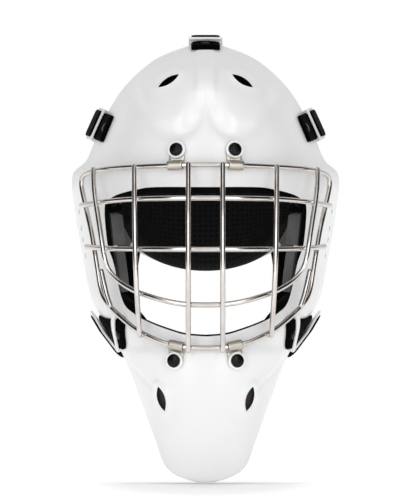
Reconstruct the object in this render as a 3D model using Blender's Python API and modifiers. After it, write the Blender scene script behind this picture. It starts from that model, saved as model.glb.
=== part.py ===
"""Ice-hockey goalie mask: shell, wire cage, fasteners, padding, chin cup, harness and backplate.

Metres, +Z up. The face looks along -Y and +X is the viewer's right of the face. The origin is the
middle of the head, level with the eyes. Lengths below are written in millimetres and
turned into metres by MM where they are used.
"""
import math

import bmesh
import bpy
from mathutils import Matrix, Vector
from mathutils.bvhtree import BVHTree

MM = 0.001

# ---- driving dimensions, millimetres -------------------------------------------------------
SHELL_THICKNESS = 3.5
GAP = 0.3  # clearance left between touching pieces

# Stations of the shell from crown to chin: (front y, front z, edge x, edge y, edge z).
# The front point lies on the middle plane and the edge point on the shell's rear edge.
STATIONS = [
    (12.0, 166.0, 19.0, 14.0, 162.5),
    (-48.0, 156.0, 50.0, 17.0, 147.5),
    (-88.0, 126.0, 76.0, 24.0, 123.0),
    (-106.0, 88.0, 95.0, 36.0, 88.0),
    (-112.0, 62.0, 105.5, 45.0, 64.0),
    (-113.5, 47.0, 118.0, 51.0, 50.0),
    (-116.0, 5.0, 115.5, 54.0, 18.0),
    (-118.5, -45.0, 108.5, 40.0, -22.0),
    (-123.0, -82.0, 101.0, 14.0, -56.0),
    (-127.0, -108.0, 86.0, -14.0, -79.0),
    (-126.0, -138.0, 70.0, -44.0, -111.0),
    (-121.0, -170.0, 57.0, -64.0, -145.0),
    (-113.0, -200.0, 45.0, -82.0, -178.0),
    (-106.0, -216.0, 34.0, -94.0, -205.0),
    (-102.0, -220.0, 8.0, -101.0, -219.6),
]
FULLNESS = 0.93  # exponent of the elliptical sections: 1 is a true ellipse, less is squarer
LAST_STATION = len(STATIONS) - 1
IN_FRONT = -400.0  # a y well in front of the whole mask
SHELL_ROWS_PER_STATION = 2
SHELL_COLUMNS = 24  # across the whole width

# Eye port, seen from the front: half outline (x, z) from the top middle down to the bottom middle
PORT_OUTLINE = [
    (0.0, 39.4), (44.0, 39.4), (60.0, 37.4), (76.0, 33.4), (84.0, 29.0), (88.8, 21.5),
    (86.4, -9.7), (81.0, -27.0), (73.0, -60.0), (63.4, -71.3), (49.3, -79.3), (33.4, -85.4),
    (17.6, -90.0), (0.0, -91.5),
]
PORT_STEPS = 30  # points on half of the outline
PORT_CUT_MIDDLE = -110.0  # y of the middle of the port's cutter, and half its depth
PORT_CUT_DEPTH = 90.0
# Vents: (x, z, length, width, tilt in degrees from the X axis), mirrored to the other side
FOREHEAD_VENT = (32.5, 133.0, 21.6, 5.6, -32.0)
CHIN_VENT = (38.8, -146.3, 22.4, 7.0, 75.0)
EAR_HOLE_HEIGHTS = [18.5, 3.0, -6.5, -21.0]
EAR_HOLE_RADIUS = 2.6
EAR_HOLE_ACROSS = 0.82  # share of the way from the middle plane to the rear edge

# Cage
WIRE_RADIUS = 2.25
STANDOFF = 5.8  # from the shell's face to the middle of the perimeter wire
LAYER = 5.5  # one wire's diameter, a weld gap and the slant of the cage's face
CAGE_BULGE = 19.0
CAGE_TOP = 59.0
CAGE_BOTTOM = -101.8
CAGE_HALF_WIDTH = 112.0

# Cage fasteners
SCREW_TOP = (24.6, 71.6)
SCREW_BOTTOM = (26.4, -112.7)
SCREW_RADIUS = 2.5
HEAD_RADIUS = 5.75
HEAD_HEIGHT = 3.2
WASHER_RADIUS = 7.7
WASHER_HEIGHT = 2.0
HOLE_RADIUS = 2.9
CLIP_WIDTH = 13.2
CLIP_SHEET = 1.5
CLIP_CLEARANCE = 0.7  # the flat clip over the curved shell
WRAP_CLEARANCE = 0.75  # the clip's bend over the wire
NUT_RADIUS = 8.0
NUT_HEIGHT = 1.4
NUT_CLEARANCE = 1.5  # the flat nut under the curved shell
SCREW_PROUD = 0.7  # the screw's end beyond its nut

# Harness hardware. Heights above the shell's outer face, and distances behind the hook's middle.
HOOK_WIDTH = 30.0
HOOK_FRONT = 12.0  # from the hook's middle to its front end
WEBBING_WIDTH = 25.0
TAB_LOW = 0.5
TAB_HIGH = {"top": 5.0, "upper": 3.5, "lower": 3.5}
PLATE_LOW, PLATE_HIGH = 4.0, 6.2
HOOK_SHEET = 2.6  # thickness of the hook's lip and of its return
LIP_CLEARANCE = 1.6  # from the shell's edge back to the lip
RETURN_CLEARANCE = 1.4  # from the shell's inner face to the return
RETURN_LENGTH = 7.0  # how far the return reaches forward under the shell
HOOK_TAIL = 5.5  # the plate's length behind the lip, for the strap
STRAP_MIDDLE = 7.3
STRAP_THICKNESS = 1.6
# Places on the shell: stations, and shares of the way from the middle plane to the rear edge
TOP_HOOK_STATION = 0.42
TOP_HOOK_LIFT = 2.4
HOOK_STATIONS = {"upper": 2.84, "lower": 8.93}
HOOK_ACROSS = 0.90
# Tabs: how far each reaches ahead of its hook's middle and behind it
TAB_FRONT = {"top": 22.0, "upper": 40.0, "lower": 56.0}
TAB_REAR = {"top": 6.0, "upper": 6.0, "lower": -2.0}
LOWER_TAB_TURN = math.radians(59.0)  # the lower tabs run forward round the jaw, not square to the edge
TAB_ROWS = 6
TAB_COLUMNS = 4
# Straps: where they end on the backplate, as shares across and up it
STRAP_CLEARANCE = 1.5  # from the backplate's outer face to the strap's end
TOP_ANCHOR = (0.0, 0.90)
UPPER_ANCHOR = (0.86, 0.52)
LOWER_ANCHOR = (0.62, -0.60)

# Backplate
BACK_ARC = math.radians(78.0)
BACK_MIDDLE_Z = 41.0
BACK_HALF_HEIGHT = 74.0
BACK_HALF_WIDTH = 80.0
BACK_DEPTH = 58.0
BACK_CENTRE_Y = 62.0
BACK_SMILE = 46.0  # how steeply the lower edge rises towards the sides
BACK_THICKNESS = 3.5
BACK_PAD_THICKNESS = 9.0

# Chin cup
CHIN_AXIS = (-54.0, -101.0)  # y, z of the line through both snaps
CHIN_CENTRE = (-72.0, -116.0)  # y, z of the cup's middle
CUP_HALF_WIDTH = 38.0
CUP_DEPTH = 24.0
CUP_DROP = 20.0
CUP_THICKNESS = 3.0
SNAP_RADIUS = 6.2
SNAP_HEIGHT = 2.6
SNAP_CLEARANCE = 1.2  # from the shell's inner face
CHIN_STRAP_WIDTH = 14.0


# ---- materials -----------------------------------------------------------------------------
def make_material(name, colour, roughness, metallic=0.0):
    """A Principled material of one colour."""
    material = bpy.data.materials.new(name)
    material.use_nodes = True
    shader = material.node_tree.nodes["Principled BSDF"]
    shader.inputs["Base Color"].default_value = (*colour, 1.0)
    shader.inputs["Roughness"].default_value = roughness
    shader.inputs["Metallic"].default_value = metallic
    material.diffuse_color = (*colour, 1.0)
    return material


def make_materials():
    """One material for each kind of surface."""
    return {
        "gloss_white": make_material("gloss_white", (0.86, 0.86, 0.86), 0.16),
        "chrome": make_material("chrome", (0.78, 0.76, 0.74), 0.14, 1.0),
        "clip_steel": make_material("clip_steel", (0.62, 0.60, 0.57), 0.32, 1.0),
        "black_screw": make_material("black_screw", (0.02, 0.02, 0.02), 0.30, 0.8),
        "nylon_white": make_material("nylon_white", (0.90, 0.90, 0.89), 0.45),
        "zinc": make_material("zinc", (0.60, 0.61, 0.62), 0.35, 1.0),
        "foam_black": make_material("foam_black", (0.02, 0.02, 0.022), 0.85),
        "foam_grey": make_material("foam_grey", (0.10, 0.10, 0.105), 0.80),
        "webbing_black": make_material("webbing_black", (0.015, 0.015, 0.016), 0.75),
        "hook_plastic": make_material("hook_plastic", (0.72, 0.72, 0.72), 0.40),
        "cup_plastic": make_material("cup_plastic", (0.05, 0.05, 0.055), 0.50),
    }


# ---- small tools ---------------------------------------------------------------------------
def new_collection(name):
    """A collection linked to the scene."""
    collection = bpy.data.collections.new(name)
    bpy.context.scene.collection.children.link(collection)
    return collection


def add_object(name, data, collection, material=None):
    """An object of this name for the data, with one material."""
    obj = bpy.data.objects.new(name, data)
    collection.objects.link(obj)
    if material is not None:
        data.materials.append(material)
    return obj


def catmull_rom(points, position):
    """The smooth curve through the points, read at a position counted in points."""
    last = len(points) - 1
    index = min(int(position), last - 1)
    part = position - index
    before = points[max(index - 1, 0)]
    after = points[min(index + 2, last)]
    here = points[index]
    there = points[index + 1]
    result = []
    for a, b, c, d in zip(before, here, there, after):
        slope_b = (c - a) / 2
        slope_c = (d - b) / 2
        cubic = 2 * (b - c) + slope_b + slope_c
        square = 3 * (c - b) - 2 * slope_b - slope_c
        result.append(b + part * (slope_b + part * (square + part * cubic)))
    return result


def smooth_points(points, count):
    """Count points spread along the smooth curve through the given ones, evenly by length."""
    fine = [Vector(catmull_rom(points, (len(points) - 1) * i / 400)) for i in range(401)]
    run = [0.0]
    for a, b in zip(fine, fine[1:]):
        run.append(run[-1] + (b - a).length)
    result = []
    place = 0
    for i in range(count):
        want = run[-1] * i / (count - 1)
        while place < 399 and run[place + 1] < want:
            place += 1
        share = (want - run[place]) / max(run[place + 1] - run[place], 1e-9)
        result.append(fine[place].lerp(fine[place + 1], min(share, 1.0)))
    return result


def frame_matrix(origin, x_axis, y_axis, z_axis):
    """The matrix of a frame, its origin in millimetres and its axes as unit vectors."""
    matrix = Matrix((x_axis, y_axis, z_axis)).transposed().to_4x4()
    matrix.translation = Vector(origin) * MM
    return matrix


def grid_mesh(name, rows):
    """A surface through rows of points in millimetres."""
    mesh = bpy.data.meshes.new(name)
    work = bmesh.new()
    grid = [[work.verts.new(Vector(point) * MM) for point in row] for row in rows]
    for upper, lower in zip(grid, grid[1:]):
        for i in range(len(upper) - 1):
            work.faces.new((upper[i], lower[i], lower[i + 1], upper[i + 1]))
    work.to_mesh(mesh)
    work.free()
    mesh.shade_smooth()
    return mesh


def add_solidify(obj, thickness):
    """Thickness in millimetres, laid on the side that the faces look away from."""
    solid = obj.modifiers.new("Solidify", "SOLIDIFY")
    solid.thickness = thickness * MM
    solid.offset = -1.0
    return solid


def add_cut(obj, cutter):
    """Cut the object with an exact Boolean."""
    cut = obj.modifiers.new("Cut", "BOOLEAN")
    cut.operation = "DIFFERENCE"
    cut.solver = "EXACT"
    cut.object = cutter


def flat_outline(name, outline, half_depth, matrix, collection, material=None):
    """A flat outline in millimetres, filled and extruded both ways, as a closed mesh."""
    curve = bpy.data.curves.new(name, "CURVE")
    curve.dimensions = "2D"
    curve.fill_mode = "BOTH"
    curve.extrude = half_depth * MM
    spline = curve.splines.new("POLY")
    spline.points.add(len(outline) - 1)
    for point, (x, y) in zip(spline.points, outline):
        point.co = (x * MM, y * MM, 0.0, 1.0)
    spline.use_cyclic_u = True
    drawn = bpy.data.objects.new(name + "_outline", curve)
    collection.objects.link(drawn)
    drawn.matrix_world = matrix
    bpy.context.view_layer.update()
    evaluated = drawn.evaluated_get(bpy.context.evaluated_depsgraph_get())
    mesh = bpy.data.meshes.new_from_object(evaluated)
    work = bmesh.new()
    work.from_mesh(mesh)
    bmesh.ops.remove_doubles(work, verts=work.verts, dist=0.00001)
    bmesh.ops.recalc_face_normals(work, faces=work.faces)
    work.to_mesh(mesh)
    work.free()
    bpy.data.objects.remove(drawn)
    mesh.name = name
    obj = add_object(name, mesh, collection, material)
    obj.matrix_world = matrix
    return obj


def turned_piece(name, profile, matrix, collection, material, steps=14):
    """A round piece: a profile of (radius, height) in millimetres turned about the local Z axis."""
    mesh = bpy.data.meshes.new(name)
    points = [(radius * MM, 0.0, height * MM) for radius, height in profile]
    edges = [(i, i + 1) for i in range(len(points) - 1)]
    closed_ring = profile[0][0] > 0.0
    if closed_ring:
        edges.append((len(points) - 1, 0))
    mesh.from_pydata(points, edges, [])
    obj = add_object(name, mesh, collection, material)
    obj.matrix_world = matrix
    screw = obj.modifiers.new("Screw", "SCREW")
    screw.steps = steps
    screw.render_steps = steps
    screw.use_merge_vertices = True
    screw.merge_threshold = 0.00001
    return obj


def cylinder_cutter(name, radius, half_length, matrix, collection):
    """A cylinder along the local Z axis, kept out of renders, to cut a round hole."""
    mesh = bpy.data.meshes.new(name)
    work = bmesh.new()
    bmesh.ops.create_cone(
        work, cap_ends=True, segments=16,
        radius1=radius * MM, radius2=radius * MM, depth=2 * half_length * MM,
    )
    work.to_mesh(mesh)
    work.free()
    cutter = add_object(name, mesh, collection)
    cutter.matrix_world = matrix
    hide_cutter(cutter)
    return cutter


def hide_cutter(obj):
    """Mark a cutter as a guide that is no part of the object."""
    obj.hide_render = True
    obj.display_type = "WIRE"


# ---- shape of the shell --------------------------------------------------------------------
def skin_point(station, across):
    """A point of the shell's outer face. across runs from -1, the left edge, to 1, the right."""
    front_y, front_z, edge_x, edge_y, edge_z = catmull_rom(STATIONS, station)
    angle = abs(across) * math.pi / 2
    side = math.sin(angle) ** FULLNESS
    back = 1.0 - max(math.cos(angle), 0.0) ** FULLNESS
    return Vector((
        math.copysign(edge_x * side, across),
        front_y + (edge_y - front_y) * back,
        front_z + (edge_z - front_z) * back,
    ))


def skin_normal(station, across):
    """The outward unit normal of the shell's outer face."""
    step = 0.02
    high = min(station + step, LAST_STATION)
    low = max(station - step, 0.0)
    left = max(across - step, -1.0)
    right = min(across + step, 1.0)
    down = skin_point(high, across) - skin_point(low, across)
    over = skin_point(station, right) - skin_point(station, left)
    return down.cross(over).normalized()


def skin_tree(offset, bulge=0.0):
    """A search tree over the face moved outward by an offset, with the cage's bulge added."""
    rows = 112
    columns = 80
    points = []
    for i in range(rows + 1):
        station = LAST_STATION * i / rows
        for j in range(columns + 1):
            across = -1 + 2 * j / columns
            point = skin_point(station, across)
            rise = offset + bulge * cage_swell(point.x, point.z)
            points.append(point + skin_normal(station, across) * rise)
    faces = []
    for i in range(rows):
        for j in range(columns):
            a = i * (columns + 1) + j
            faces.append((a, a + columns + 1, a + columns + 2, a + 1))
    return BVHTree.FromPolygons(points, faces)


def cage_swell(x, z):
    """How far the cage stands out there, from 0 at its rim to 1 in its middle."""
    height = (z - CAGE_BOTTOM) / (CAGE_TOP - CAGE_BOTTOM)
    if not 0.0 < height < 1.0 or abs(x) > CAGE_HALF_WIDTH:
        return 0.0
    return math.sin(math.pi * height) ** 1.1 * math.cos(math.pi / 2 * x / CAGE_HALF_WIDTH)


def face_hit(tree, x, z):
    """Where a line from the front meets the face, and the face's normal there."""
    start = Vector((x, IN_FRONT, z))
    hit, normal, _, _ = tree.ray_cast(start, Vector((0.0, 1.0, 0.0)))
    if normal.y > 0:
        normal = -normal
    return hit, normal


def hook_frame(label, side):
    """A hook's middle, its axes (rearward, outward, along the edge) and the rear edge's place.

    The edge's place is how far behind the middle it is, and how far below the hook's plane.
    """
    if label == "top":
        point = skin_point(TOP_HOOK_STATION, 0.0)
        out = Vector((0, 0, 1))
        edge = [skin_point(0.0, -1 + i / 20) for i in range(41)]
        lift = TOP_HOOK_LIFT
    else:
        station = HOOK_STATIONS[label.split("_")[0]]
        point = skin_point(station, side * HOOK_ACROSS)
        out = skin_normal(station, side * HOOK_ACROSS)
        edge = [skin_point(station - 1.5 + i / 20, side) for i in range(61)]
        lift = GAP
    middle = point + out * lift
    rearward = Vector((0, 1, 0))
    if label.startswith("lower"):
        ahead = skin_point(station + 0.2, side) - skin_point(station - 0.2, side)
        rearward = ahead.cross(out)
    back = (rearward - out * rearward.dot(out)).normalized()
    if back.y < 0:
        back = -back
    along = out.cross(back)
    covered = [p - middle for p in edge if abs((p - middle).dot(along)) < HOOK_WIDTH / 2 + 1.5]
    reach = max(place.dot(back) for place in covered)
    drop = max(-place.dot(out) for place in covered)
    return middle, back, out, along, reach, drop


# ---- shell ---------------------------------------------------------------------------------
def lens_outline(length, width):
    """Two equal arcs that meet in points, as the outline of a vent."""
    radius = (length ** 2 / 4 + width ** 2 / 4) / width
    reach = math.asin(length / 2 / radius)
    upper = []
    for i in range(9):
        angle = reach * (1 - i / 4)
        upper.append((radius * math.sin(angle), radius * math.cos(angle) - radius + width / 2))
    lower = [(-x, -y) for x, y in upper[1:-1]]
    return upper + lower


def front_matrix(x, y, z, tilt=0.0):
    """A frame whose local XY plane faces the front, turned by a tilt in its own plane."""
    turned = Matrix.Rotation(math.radians(90), 4, "X") @ Matrix.Rotation(math.radians(tilt), 4, "Z")
    return Matrix.Translation(Vector((x, y, z)) * MM) @ turned


def port_outline():
    """The eye port's whole outline, seen from the front."""
    half = smooth_points([(x, z, 0.0) for x, z in PORT_OUTLINE], PORT_STEPS)
    return [(p.x, p.y) for p in half] + [(-p.x, p.y) for p in reversed(half[1:-1])]


def make_shell(parts, cutters, materials, holes):
    """The one-piece shell, with its eye port, vents, ear holes and screw holes."""
    rows = []
    count = LAST_STATION * SHELL_ROWS_PER_STATION
    for i in range(count + 1):
        station = LAST_STATION * i / count
        rows.append([
            skin_point(station, -1 + 2 * j / SHELL_COLUMNS) for j in range(SHELL_COLUMNS + 1)
        ])
    shell = add_object("shell", grid_mesh("shell", rows), parts, materials["gloss_white"])
    add_solidify(shell, SHELL_THICKNESS)
    place = front_matrix(0, PORT_CUT_MIDDLE, 0)
    port = flat_outline("port_cutter", port_outline(), PORT_CUT_DEPTH, place, cutters)
    hide_cutter(port)
    add_cut(shell, port)
    for side in (1, -1):
        for label, vent in (("forehead", FOREHEAD_VENT), ("chin", CHIN_VENT)):
            x, z, length, width, tilt = vent
            place = front_matrix(side * x, -100, z, side * tilt)
            cutter = flat_outline(
                f"{label}_vent_cutter_{side}", lens_outline(length, width), 60.0, place, cutters
            )
            hide_cutter(cutter)
            add_cut(shell, cutter)
        for i, height in enumerate(EAR_HOLE_HEIGHTS):
            place = ear_hole_matrix(side, height)
            add_cut(shell, cylinder_cutter(
                f"ear_hole_cutter_{side}_{i}", EAR_HOLE_RADIUS, 9.0, place, cutters
            ))
    for label, matrix in holes.items():
        add_cut(shell, cylinder_cutter(f"hole_{label}", HOLE_RADIUS, 9.0, matrix, cutters))
    return shell


def ear_hole_matrix(side, height):
    """The frame of one ear hole, its local Z axis along the shell's normal."""
    station = min(
        (5.0 + i / 100 for i in range(350)),
        key=lambda s: abs(skin_point(s, EAR_HOLE_ACROSS).z - height),
    )
    point = skin_point(station, side * EAR_HOLE_ACROSS)
    normal = skin_normal(station, side * EAR_HOLE_ACROSS)
    return Matrix.Translation(point * MM) @ normal.to_track_quat("Z", "Y").to_matrix().to_4x4()


# ---- cage ----------------------------------------------------------------------------------
def add_wire(name, points, parts, material, cyclic=False):
    """A bent wire through points in millimetres."""
    curve = bpy.data.curves.new(name, "CURVE")
    curve.dimensions = "3D"
    curve.bevel_depth = WIRE_RADIUS * MM
    curve.bevel_resolution = 2
    curve.use_fill_caps = not cyclic
    spline = curve.splines.new("POLY")
    spline.points.add(len(points) - 1)
    for control, point in zip(spline.points, points):
        control.co = (*(Vector(point) * MM), 1.0)
    spline.use_cyclic_u = cyclic
    return add_object(name, curve, parts, material)


def mirror_plan(half):
    """A plan of (x, z) points from the middle outward, made whole."""
    return [(-x, z) for x, z in reversed(half[1:])] + half


RING_TOP = [(0.0, 59.0), (35.0, 58.2), (65.0, 57.0), (88.0, 55.4), (101.0, 53.0)]
RING_SIDE = [
    (108.0, 49.5), (109.3, 44.0), (108.8, 37.0), (103.8, 15.0), (99.9, -2.6),
    (95.5, -29.0), (92.8, -46.6), (89.6, -57.5),
]
RING_BOTTOM = [
    (84.5, -64.5), (77.4, -71.8), (68.6, -79.6), (59.8, -86.2), (46.6, -93.0),
    (33.4, -98.0), (17.6, -101.0), (0.0, -101.8),
]
UPPER_BAR = [(0.0, 29.7), (35.0, 29.5), (65.0, 28.6), (89.0, 26.6), (109.5, 23.4)]
MIDDLE_BAR = [(0.0, -15.2), (60.0, -15.0), (90.0, -14.2), (104.5, -12.6)]
# The lower bar runs across, bends up at both ends and climbs to the top wire.
LOWER_BAR = [
    (0.0, -63.9), (18.5, -63.2), (33.4, -60.7), (47.5, -56.8), (61.6, -51.8), (74.0, -44.6),
    (82.0, -37.2), (86.6, -30.0), (89.4, -19.0), (91.4, -6.0), (93.6, 8.0), (96.4, 26.0),
    (98.2, 42.0), (98.8, 55.2),
]
OUTER_STUB = [(91.6, -34.0), (89.6, -43.0), (86.8, -55.0), (83.6, -64.5)]
INNER_UPRIGHT = [(15.1, 59.6), (15.1, 30.0), (15.1, -15.0), (15.1, -63.0), (15.1, -104.0)]
OUTER_UPRIGHT = [(62.6, 57.8), (62.2, 28.0), (61.6, -15.0), (60.2, -52.0), (57.6, -91.0)]


def make_cage(parts, materials):
    """The cage: perimeter wire, three cross bars, four uprights and two side stubs."""
    trees = [skin_tree(STANDOFF + LAYER * i, CAGE_BULGE) for i in range(3)]
    chrome = materials["chrome"]

    def place(x, z, layer):
        lower = int(min(layer, 1.999))
        first = face_hit(trees[lower], x, z)[0]
        second = face_hit(trees[lower + 1], x, z)[0]
        return first.lerp(second, layer - lower)

    def route(plan, count, layer_at):
        flat = smooth_points([(x, z, 0.0) for x, z in plan], count)
        return [place(p.x, p.y, layer_at(p.x, p.y)) for p in flat]

    ring_plan = mirror_plan(RING_TOP + RING_SIDE + RING_BOTTOM)
    ring = route(ring_plan, 73, lambda x, z: 0.0)[:-1]
    add_wire("cage_perimeter", ring, parts, chrome, cyclic=True)

    def upright_layer(x, z):
        """One layer out where an upright lies on the perimeter, two where it crosses bars."""
        from_rim = min(CAGE_TOP + 2 - z, z - upright_bottom(x))
        return 1.0 + min(max(from_rim / 24.0, 0.0), 1.0)

    def lower_bar_layer(x, z):
        """Behind the uprights where it runs across, in front of the bars where it climbs."""
        if z < -45.0:
            return 1.0
        if z < -25.0:
            return 1.0 + (z + 45.0) / 20.0
        return 1.0 + min(max((CAGE_TOP + 1 - z) / 22.0, 0.0), 1.0)

    add_wire("cage_bar_upper", route(mirror_plan(UPPER_BAR), 25, lambda x, z: 1.0), parts, chrome)
    add_wire("cage_bar_middle", route(mirror_plan(MIDDLE_BAR), 25, lambda x, z: 1.0), parts, chrome)
    add_wire("cage_bar_lower", route(mirror_plan(LOWER_BAR), 49, lower_bar_layer), parts, chrome)
    for side, label in ((-1, "left"), (1, "right")):
        for kind, plan in (("inner", INNER_UPRIGHT), ("outer", OUTER_UPRIGHT)):
            points = [(side * x, z) for x, z in plan]
            add_wire(f"cage_upright_{kind}_{label}", route(points, 17, upright_layer), parts, chrome)
        stub = [(side * x, z) for x, z in OUTER_STUB]
        add_wire(f"cage_stub_{label}", route(stub, 6, lambda x, z: 1.0), parts, chrome)
    return ring


def upright_bottom(x):
    """The height at which an upright ends on the perimeter wire's bottom."""
    return -104.0 if abs(x) < 40.0 else -91.0


# ---- cage fasteners ------------------------------------------------------------------------
def clip_frames(ring, face):
    """Frames of the four cage clips: origin on the shell, then out, towards the wire, along it."""
    frames = {}
    for label, (x, z), side in (
        ("top_left", SCREW_TOP, -1), ("top_right", SCREW_TOP, 1),
        ("bottom_left", SCREW_BOTTOM, -1), ("bottom_right", SCREW_BOTTOM, 1),
    ):
        point, normal = face_hit(face, side * x, z)
        towards = -1 if z > 0 else 1
        near = [i for i, p in enumerate(ring) if (p.z - z) * towards > 0 and p.z * z > 0]
        closest = min(near, key=lambda i: (ring[i] - point).length)
        tangent = (ring[(closest + 1) % len(ring)] - ring[closest - 1]).normalized()
        along = (tangent - normal * tangent.dot(normal) * 0.5).normalized()
        normal = (normal - along * normal.dot(along)).normalized()
        reach = normal.cross(along)
        if reach.z * towards < 0:
            reach = -reach
        wire_place = wire_crossing(ring, closest, point, along)
        frames[label] = (point, normal, reach, along, wire_place)
    return frames


def wire_crossing(ring, closest, point, along):
    """Where the perimeter wire crosses the plane through a point, square to a direction."""
    count = len(ring)
    for i in range(closest - 3, closest + 4):
        a = ring[i % count]
        b = ring[(i + 1) % count]
        before = (a - point).dot(along)
        after = (b - point).dot(along)
        if before * after <= 0.0 and before != after:
            return a.lerp(b, before / (before - after))
    return ring[closest]


def thick_strip(line, half):
    """The outline of a bent strip: its middle line moved half a thickness to each side."""
    left, right = [], []
    for i, point in enumerate(line):
        ahead = Vector(line[min(i + 1, len(line) - 1)]) - Vector(line[max(i - 1, 0)])
        ahead.normalize()
        across = Vector((-ahead.y, ahead.x)) * half
        left.append(tuple(Vector(point) + across))
        right.append(tuple(Vector(point) - across))
    return left + right[::-1]


def make_fasteners(frames, parts, cutters, materials):
    """Four J-clips with their screws, washers and tee-nuts."""
    clip_low = CLIP_CLEARANCE
    clip_middle = clip_low + CLIP_SHEET / 2
    washer_low = clip_low + CLIP_SHEET + GAP
    head_low = washer_low + WASHER_HEIGHT + GAP
    nut_top = -SHELL_THICKNESS - NUT_CLEARANCE
    screw_end = nut_top - NUT_HEIGHT - SCREW_PROUD
    for label, (point, normal, reach, along, wire_place) in frames.items():
        distance = (wire_place - point).dot(reach)
        height = (wire_place - point).dot(normal)
        wrap = WIRE_RADIUS + WRAP_CLEARANCE + CLIP_SHEET / 2
        line = [(-7.0, clip_middle), (distance - wrap - 1.1, clip_middle)]
        for i in range(9):
            angle = math.radians(160.0 - 235.0 * i / 8)
            line.append((distance + wrap * math.cos(angle), height + wrap * math.sin(angle)))
        handed = reach.cross(normal)
        place = frame_matrix(point, reach, normal, handed)
        clip = flat_outline(
            f"cage_clip_{label}", thick_strip(line, CLIP_SHEET / 2), CLIP_WIDTH / 2, place,
            parts, materials["clip_steel"],
        )
        upright = frame_matrix(point, reach, normal.cross(reach), normal)
        add_cut(clip, cylinder_cutter(f"clip_hole_{label}", HOLE_RADIUS, 4.0, upright, cutters))
        washer = [
            (WASHER_RADIUS - 0.6, washer_low + WASHER_HEIGHT), (WASHER_RADIUS, washer_low + 1.3),
            (WASHER_RADIUS, washer_low), (HOLE_RADIUS, washer_low),
            (HOLE_RADIUS, washer_low + WASHER_HEIGHT),
        ]
        turned_piece(f"washer_{label}", washer, upright, parts, materials["nylon_white"])
        screw = [
            (0.0, head_low + HEAD_HEIGHT), (2.6, head_low + HEAD_HEIGHT - 0.25),
            (4.6, head_low + HEAD_HEIGHT - 1.1), (HEAD_RADIUS, head_low + 0.9),
            (HEAD_RADIUS, head_low), (SCREW_RADIUS, head_low),
            (SCREW_RADIUS, screw_end), (0.0, screw_end),
        ]
        turned_piece(f"cage_screw_{label}", screw, upright, parts, materials["black_screw"])
        nut = [
            (NUT_RADIUS, nut_top), (NUT_RADIUS, nut_top - NUT_HEIGHT),
            (HOLE_RADIUS, nut_top - NUT_HEIGHT), (HOLE_RADIUS, nut_top),
        ]
        turned_piece(f"tee_nut_{label}", nut, upright, parts, materials["zinc"])


# ---- padding -------------------------------------------------------------------------------
def lining(name, stations, across, depth, thickness, counts, parts, material, droop=0.0):
    """A layer that follows the shell, between two stations and two places across.

    Depth is measured inward from the shell's outer face to the layer's own outer face, and the
    thickness lies inside that. Droop moves the lower corners down, in stations.
    """
    row_count, column_count = counts
    rows = []
    for i in range(row_count + 1):
        row = []
        for j in range(column_count + 1):
            place = across[0] + (across[1] - across[0]) * j / column_count
            low = stations[1] + droop * (2 * j / column_count - 1) ** 4
            station = stations[0] + (low - stations[0]) * i / row_count
            row.append(skin_point(station, place) - skin_normal(station, place) * depth)
        rows.append(row)
    pad = add_object(name, grid_mesh(name, rows), parts, material)
    add_solidify(pad, thickness)
    return pad


# Pads: stations from top to bottom, share across from the front to the rear, depth of the outer
# face under the shell's, thickness, and the number of rows and columns.
FOREHEAD_PAD = ((2.75, 5.36), (-0.57, 0.57), 7.4, 11.0, (6, 14))
FOREHEAD_DROOP = 0.44  # how far the lower corners reach down beside the eye port
CROWN_PAD = ((0.75, 2.35), (-0.45, 0.45), 5.2, 10.0, (4, 8))
CHIN_PAD = ((7.9, 11.3), (-0.55, 0.55), 7.7, 7.0, (8, 10))
CHIN_PAD_RISE = 1.5  # its top edge stands above the eye port's lower edge
SIDE_PADS = {
    "temple_pad": ((5.15, 7.45), (0.575, 0.88), 4.6, 6.5, (6, 5)),
    "temple_strip": ((5.62, 6.5), (0.585, 0.74), 11.5, 12.5, (4, 3)),
    "jaw_strip": ((6.53, 7.42), (0.57, 0.74), 11.5, 9.5, (3, 3)),
    "jaw_pad": ((7.6, 8.85), (0.60, 0.80), 4.6, 25.0, (4, 3)),
}


def make_padding(parts, cutters, materials):
    """Forehead, crown and chin pads, and the temple and jaw pads with their grey cushions."""
    black = materials["foam_black"]
    lining("forehead_pad", *FOREHEAD_PAD, parts, black, FOREHEAD_DROOP)
    lining("crown_pad", *CROWN_PAD, parts, black)
    chin_pad = lining("chin_pad", *CHIN_PAD, parts, black)
    opening = flat_outline(
        "chin_pad_cutter", port_outline(), PORT_CUT_DEPTH,
        front_matrix(0, PORT_CUT_MIDDLE, CHIN_PAD_RISE), cutters,
    )
    hide_cutter(opening)
    add_cut(chin_pad, opening)
    for side, label in ((-1, "left"), (1, "right")):
        for name, (stations, across, depth, thickness, counts) in SIDE_PADS.items():
            material = materials["foam_grey"] if name.endswith("strip") else black
            places = sorted(side * share for share in across)
            lining(f"{name}_{label}", stations, places, depth, thickness, counts, parts, material)


# ---- backplate -----------------------------------------------------------------------------
def back_point(across, height, inward=0.0):
    """A point of the backplate's outer face; across and height run from -1 to 1."""
    taper = 1.0 - 0.10 * height - 0.30 * max(height, 0.0) ** 2 - 0.12 * min(height, 0.0) ** 2
    angle = across * BACK_ARC
    forward = 24.0 * max(height, 0.0) ** 2 + 9.0 * min(height, 0.0) ** 2
    smile = BACK_SMILE * min(height, 0.0) ** 2 * (1.0 - math.cos(angle))
    half_width = BACK_HALF_WIDTH * taper - inward
    depth = BACK_DEPTH * (0.55 + 0.45 * taper) - inward
    return Vector((
        half_width * math.sin(angle) / math.sin(BACK_ARC),
        BACK_CENTRE_Y - forward + depth * math.cos(angle),
        BACK_MIDDLE_Z + BACK_HALF_HEIGHT * height + smile,
    ))


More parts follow.
